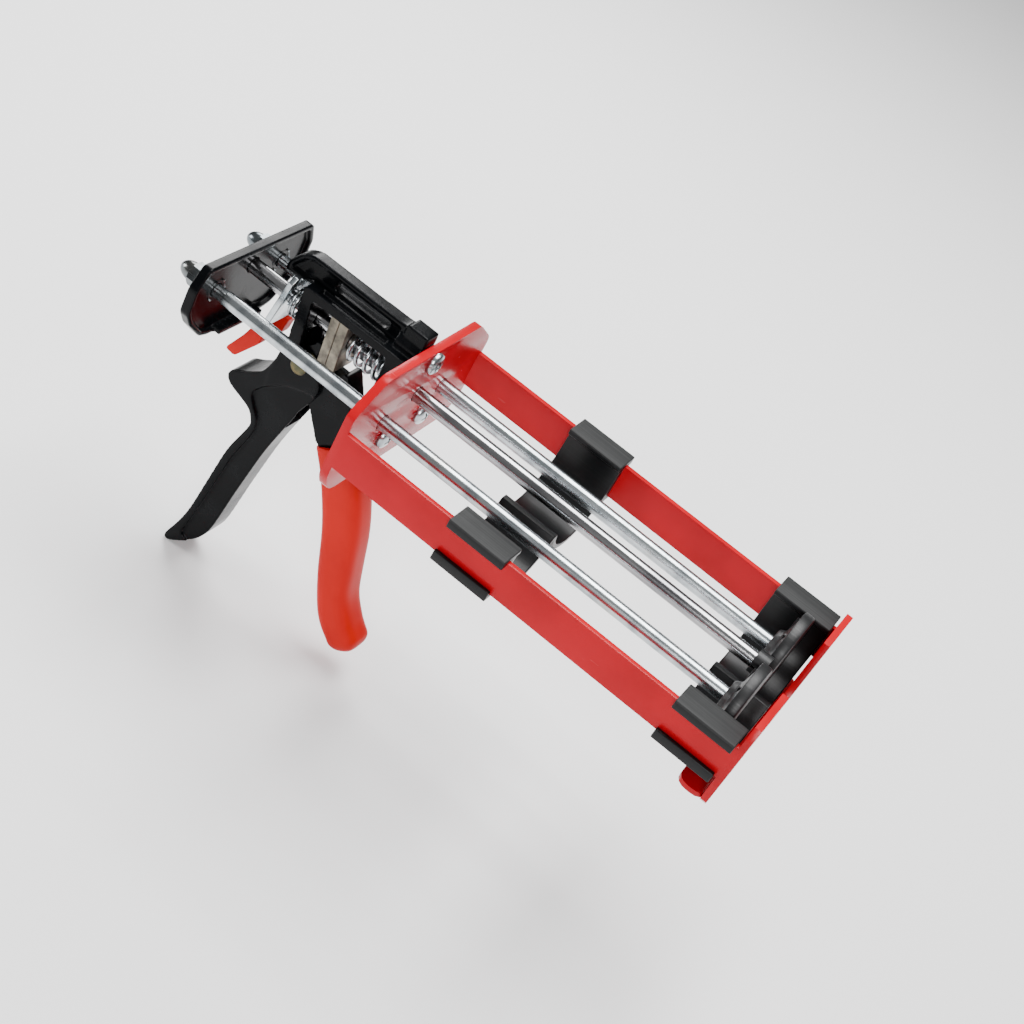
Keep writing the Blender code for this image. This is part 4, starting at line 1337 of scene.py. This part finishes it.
@dataclass
class Clutch:
    """Grip plates, release lever and the springs on the drive rod."""

    plate_edge: float = 0.4 * MM
    lever_edge: float = 0.35 * MM
    sleeve_voxel: float = 0.45 * MM
    sleeve_passes: int = 5
    rise: float = 5.4 * MM
    per_turn: int = 40
    dead: float = 0.75
    dead_pitch: float = 2.3
    coils: Tuple[Coil, ...] = (
        Coil("return_spring", 6.2 * MM, 4.5, 1.0 * MM, Joint.GRIPS, 5.2 * MM),
        Coil("release_spring", 6.8 * MM, 2.25, 0.7 * MM, Joint.RELEASE, 2.1 * MM))

    def build(self, shop: Shop) -> None:
        """Build the plates, the lever and both springs."""
        for node in ("grip_plate_rear", "grip_plate_front"):
            piece = eased(node_copy(node), self.plate_edge, 3)
            shop.stand(piece, node, Body.GRIPS, Slot.SINTERED)
        lever = eased(node_copy("release_lever"), self.lever_edge, 3)
        shop.stand(lever, "release_lever", Body.RELEASE, Slot.ZINC)
        sleeve = moulded(node_copy("release_sleeve"), self.sleeve_voxel, self.sleeve_passes)
        shop.stand(sleeve, "release_sleeve", Body.RELEASE, Slot.VINYL, DIPPED_CORNER)
        for coil in self.coils:
            self.spring(shop, coil)

    def spring(self, shop: Shop, coil: Coil) -> None:
        """Build a round-wire spring with closed ends.

        Args:
            shop: mounts the piece.
            coil: its sizes and its joint.
        """
        low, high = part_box(coil.node)
        start = low[0] + coil.wire
        end = high[0] - coil.wire
        pitch = self.dead_pitch * coil.wire
        travel = end - start - 2 * self.dead * pitch
        steps = int(coil.turns * self.per_turn)
        points = []
        for index in range(steps + 1):
            turn = coil.turns * index / steps
            share = min(1.0, max(0.0, (turn - self.dead) / (coil.turns - 2 * self.dead)))
            closed = min(turn, self.dead) + max(0.0, turn - coil.turns + self.dead)
            angle = 2 * math.pi * turn
            points.append(Vector((start + closed * pitch + share * travel, coil.radius * math.cos(angle),
                                  self.rise + coil.radius * math.sin(angle))))
        piece = wire(points, coil.wire)
        shop.stand(piece, coil.node, Body.FRAME, Slot.ZINC)
        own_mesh(piece)


@dataclass(frozen=True)
class Lamp:
    """Square soft light, aimed at the middle of the gun."""

    name: str
    spot: Triple
    size: float
    power: float


@dataclass
class Studio:
    """Pale floor, soft lights and the camera."""

    place: Triple = (0.2000, -0.5870, 0.4353)
    right: Triple = (0.769733, 0.492271, 0.406425)
    down: Triple = (0.610922, -0.383382, -0.692671)
    away: Triple = (-0.185166, 0.781465, -0.595840)
    lens: float = 63.2
    sensor: float = 36.0
    near_clip: float = 0.01
    sky: float = 0.25
    floor_gap: float = 0.2 * MM
    floor_half: float = 4.0
    floor_squares: int = 8
    lamps: Tuple[Lamp, ...] = (
        Lamp("overhead", (0.05, 0.35, 1.25), 0.9, 40.0),
        Lamp("front", (0.45, -1.15, 0.75), 0.5, 14.0),
        Lamp("rear", (-0.60, 0.75, 0.55), 0.4, 7.0),
        Lamp("left", (-0.95, -0.25, 0.16), 0.30, 6.0))

    def build(self) -> None:
        """Build the studio."""
        low, high = (Vector(corner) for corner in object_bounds())
        self.floor(low.z - self.floor_gap)
        self.world()
        for lamp in self.lamps:
            self.hang(lamp, (low + high) / 2)
        self.camera()

    def floor(self, height: float) -> None:
        """Lay the floor.

        Args:
            height: its level.
        """
        shape = bmesh.new()
        bmesh.ops.create_grid(shape, x_segments=self.floor_squares, y_segments=self.floor_squares,
                              size=self.floor_half)
        bmesh.ops.translate(shape, vec=(0.0, 0.0, height), verts=shape.verts)
        sheet = from_shape(shape, "floor")
        sheet.data.materials.append(FloorPaper().build())
        sheet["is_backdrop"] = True

    def world(self) -> None:
        """Fill the surroundings with even white light."""
        world = bpy.data.worlds.new("studio")
        world.use_nodes = True
        back = world.node_tree.nodes["Background"]
        back.inputs["Color"].default_value = (1.0, 1.0, 1.0, 1.0)
        back.inputs["Strength"].default_value = self.sky
        bpy.context.scene.world = world

    def hang(self, lamp: Lamp, aim: Vector) -> None:
        """Hang a soft light.

        Args:
            lamp: its name, place, size and power.
            aim: what it points at.
        """
        light = bpy.data.lights.new(lamp.name, "AREA")
        light.shape = "SQUARE"
        light.size = lamp.size
        light.energy = lamp.power
        holder = linked(lamp.name, light)
        holder.location = lamp.spot
        holder.rotation_euler = (aim - Vector(lamp.spot)).to_track_quat("-Z", "Y").to_euler()

    def camera(self) -> None:
        """Set up the camera."""
        lens = bpy.data.cameras.new("camera")
        lens.lens = self.lens
        lens.sensor_width = self.sensor
        lens.clip_start = self.near_clip
        holder = linked("camera", lens)
        rows = (self.right, tuple(-v for v in self.down), tuple(-v for v in self.away))
        holder.matrix_world = Matrix.Translation(self.place) @ Matrix(rows).transposed().to_4x4()
        bpy.context.scene.camera = holder


def main() -> None:
    """Build the whole gun and its studio."""
    logging.basicConfig(level=logging.INFO, format="%(name)s %(message)s")
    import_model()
    palette = Palette()
    palette.build()
    shop = Shop(palette)
    for group in (Casting(), Carriage(), Saddles(), RodSet(), Yoke(), Trigger(), Clutch()):
        group.build(shop)
    Studio().build()


if __name__ == "__main__":
    main()
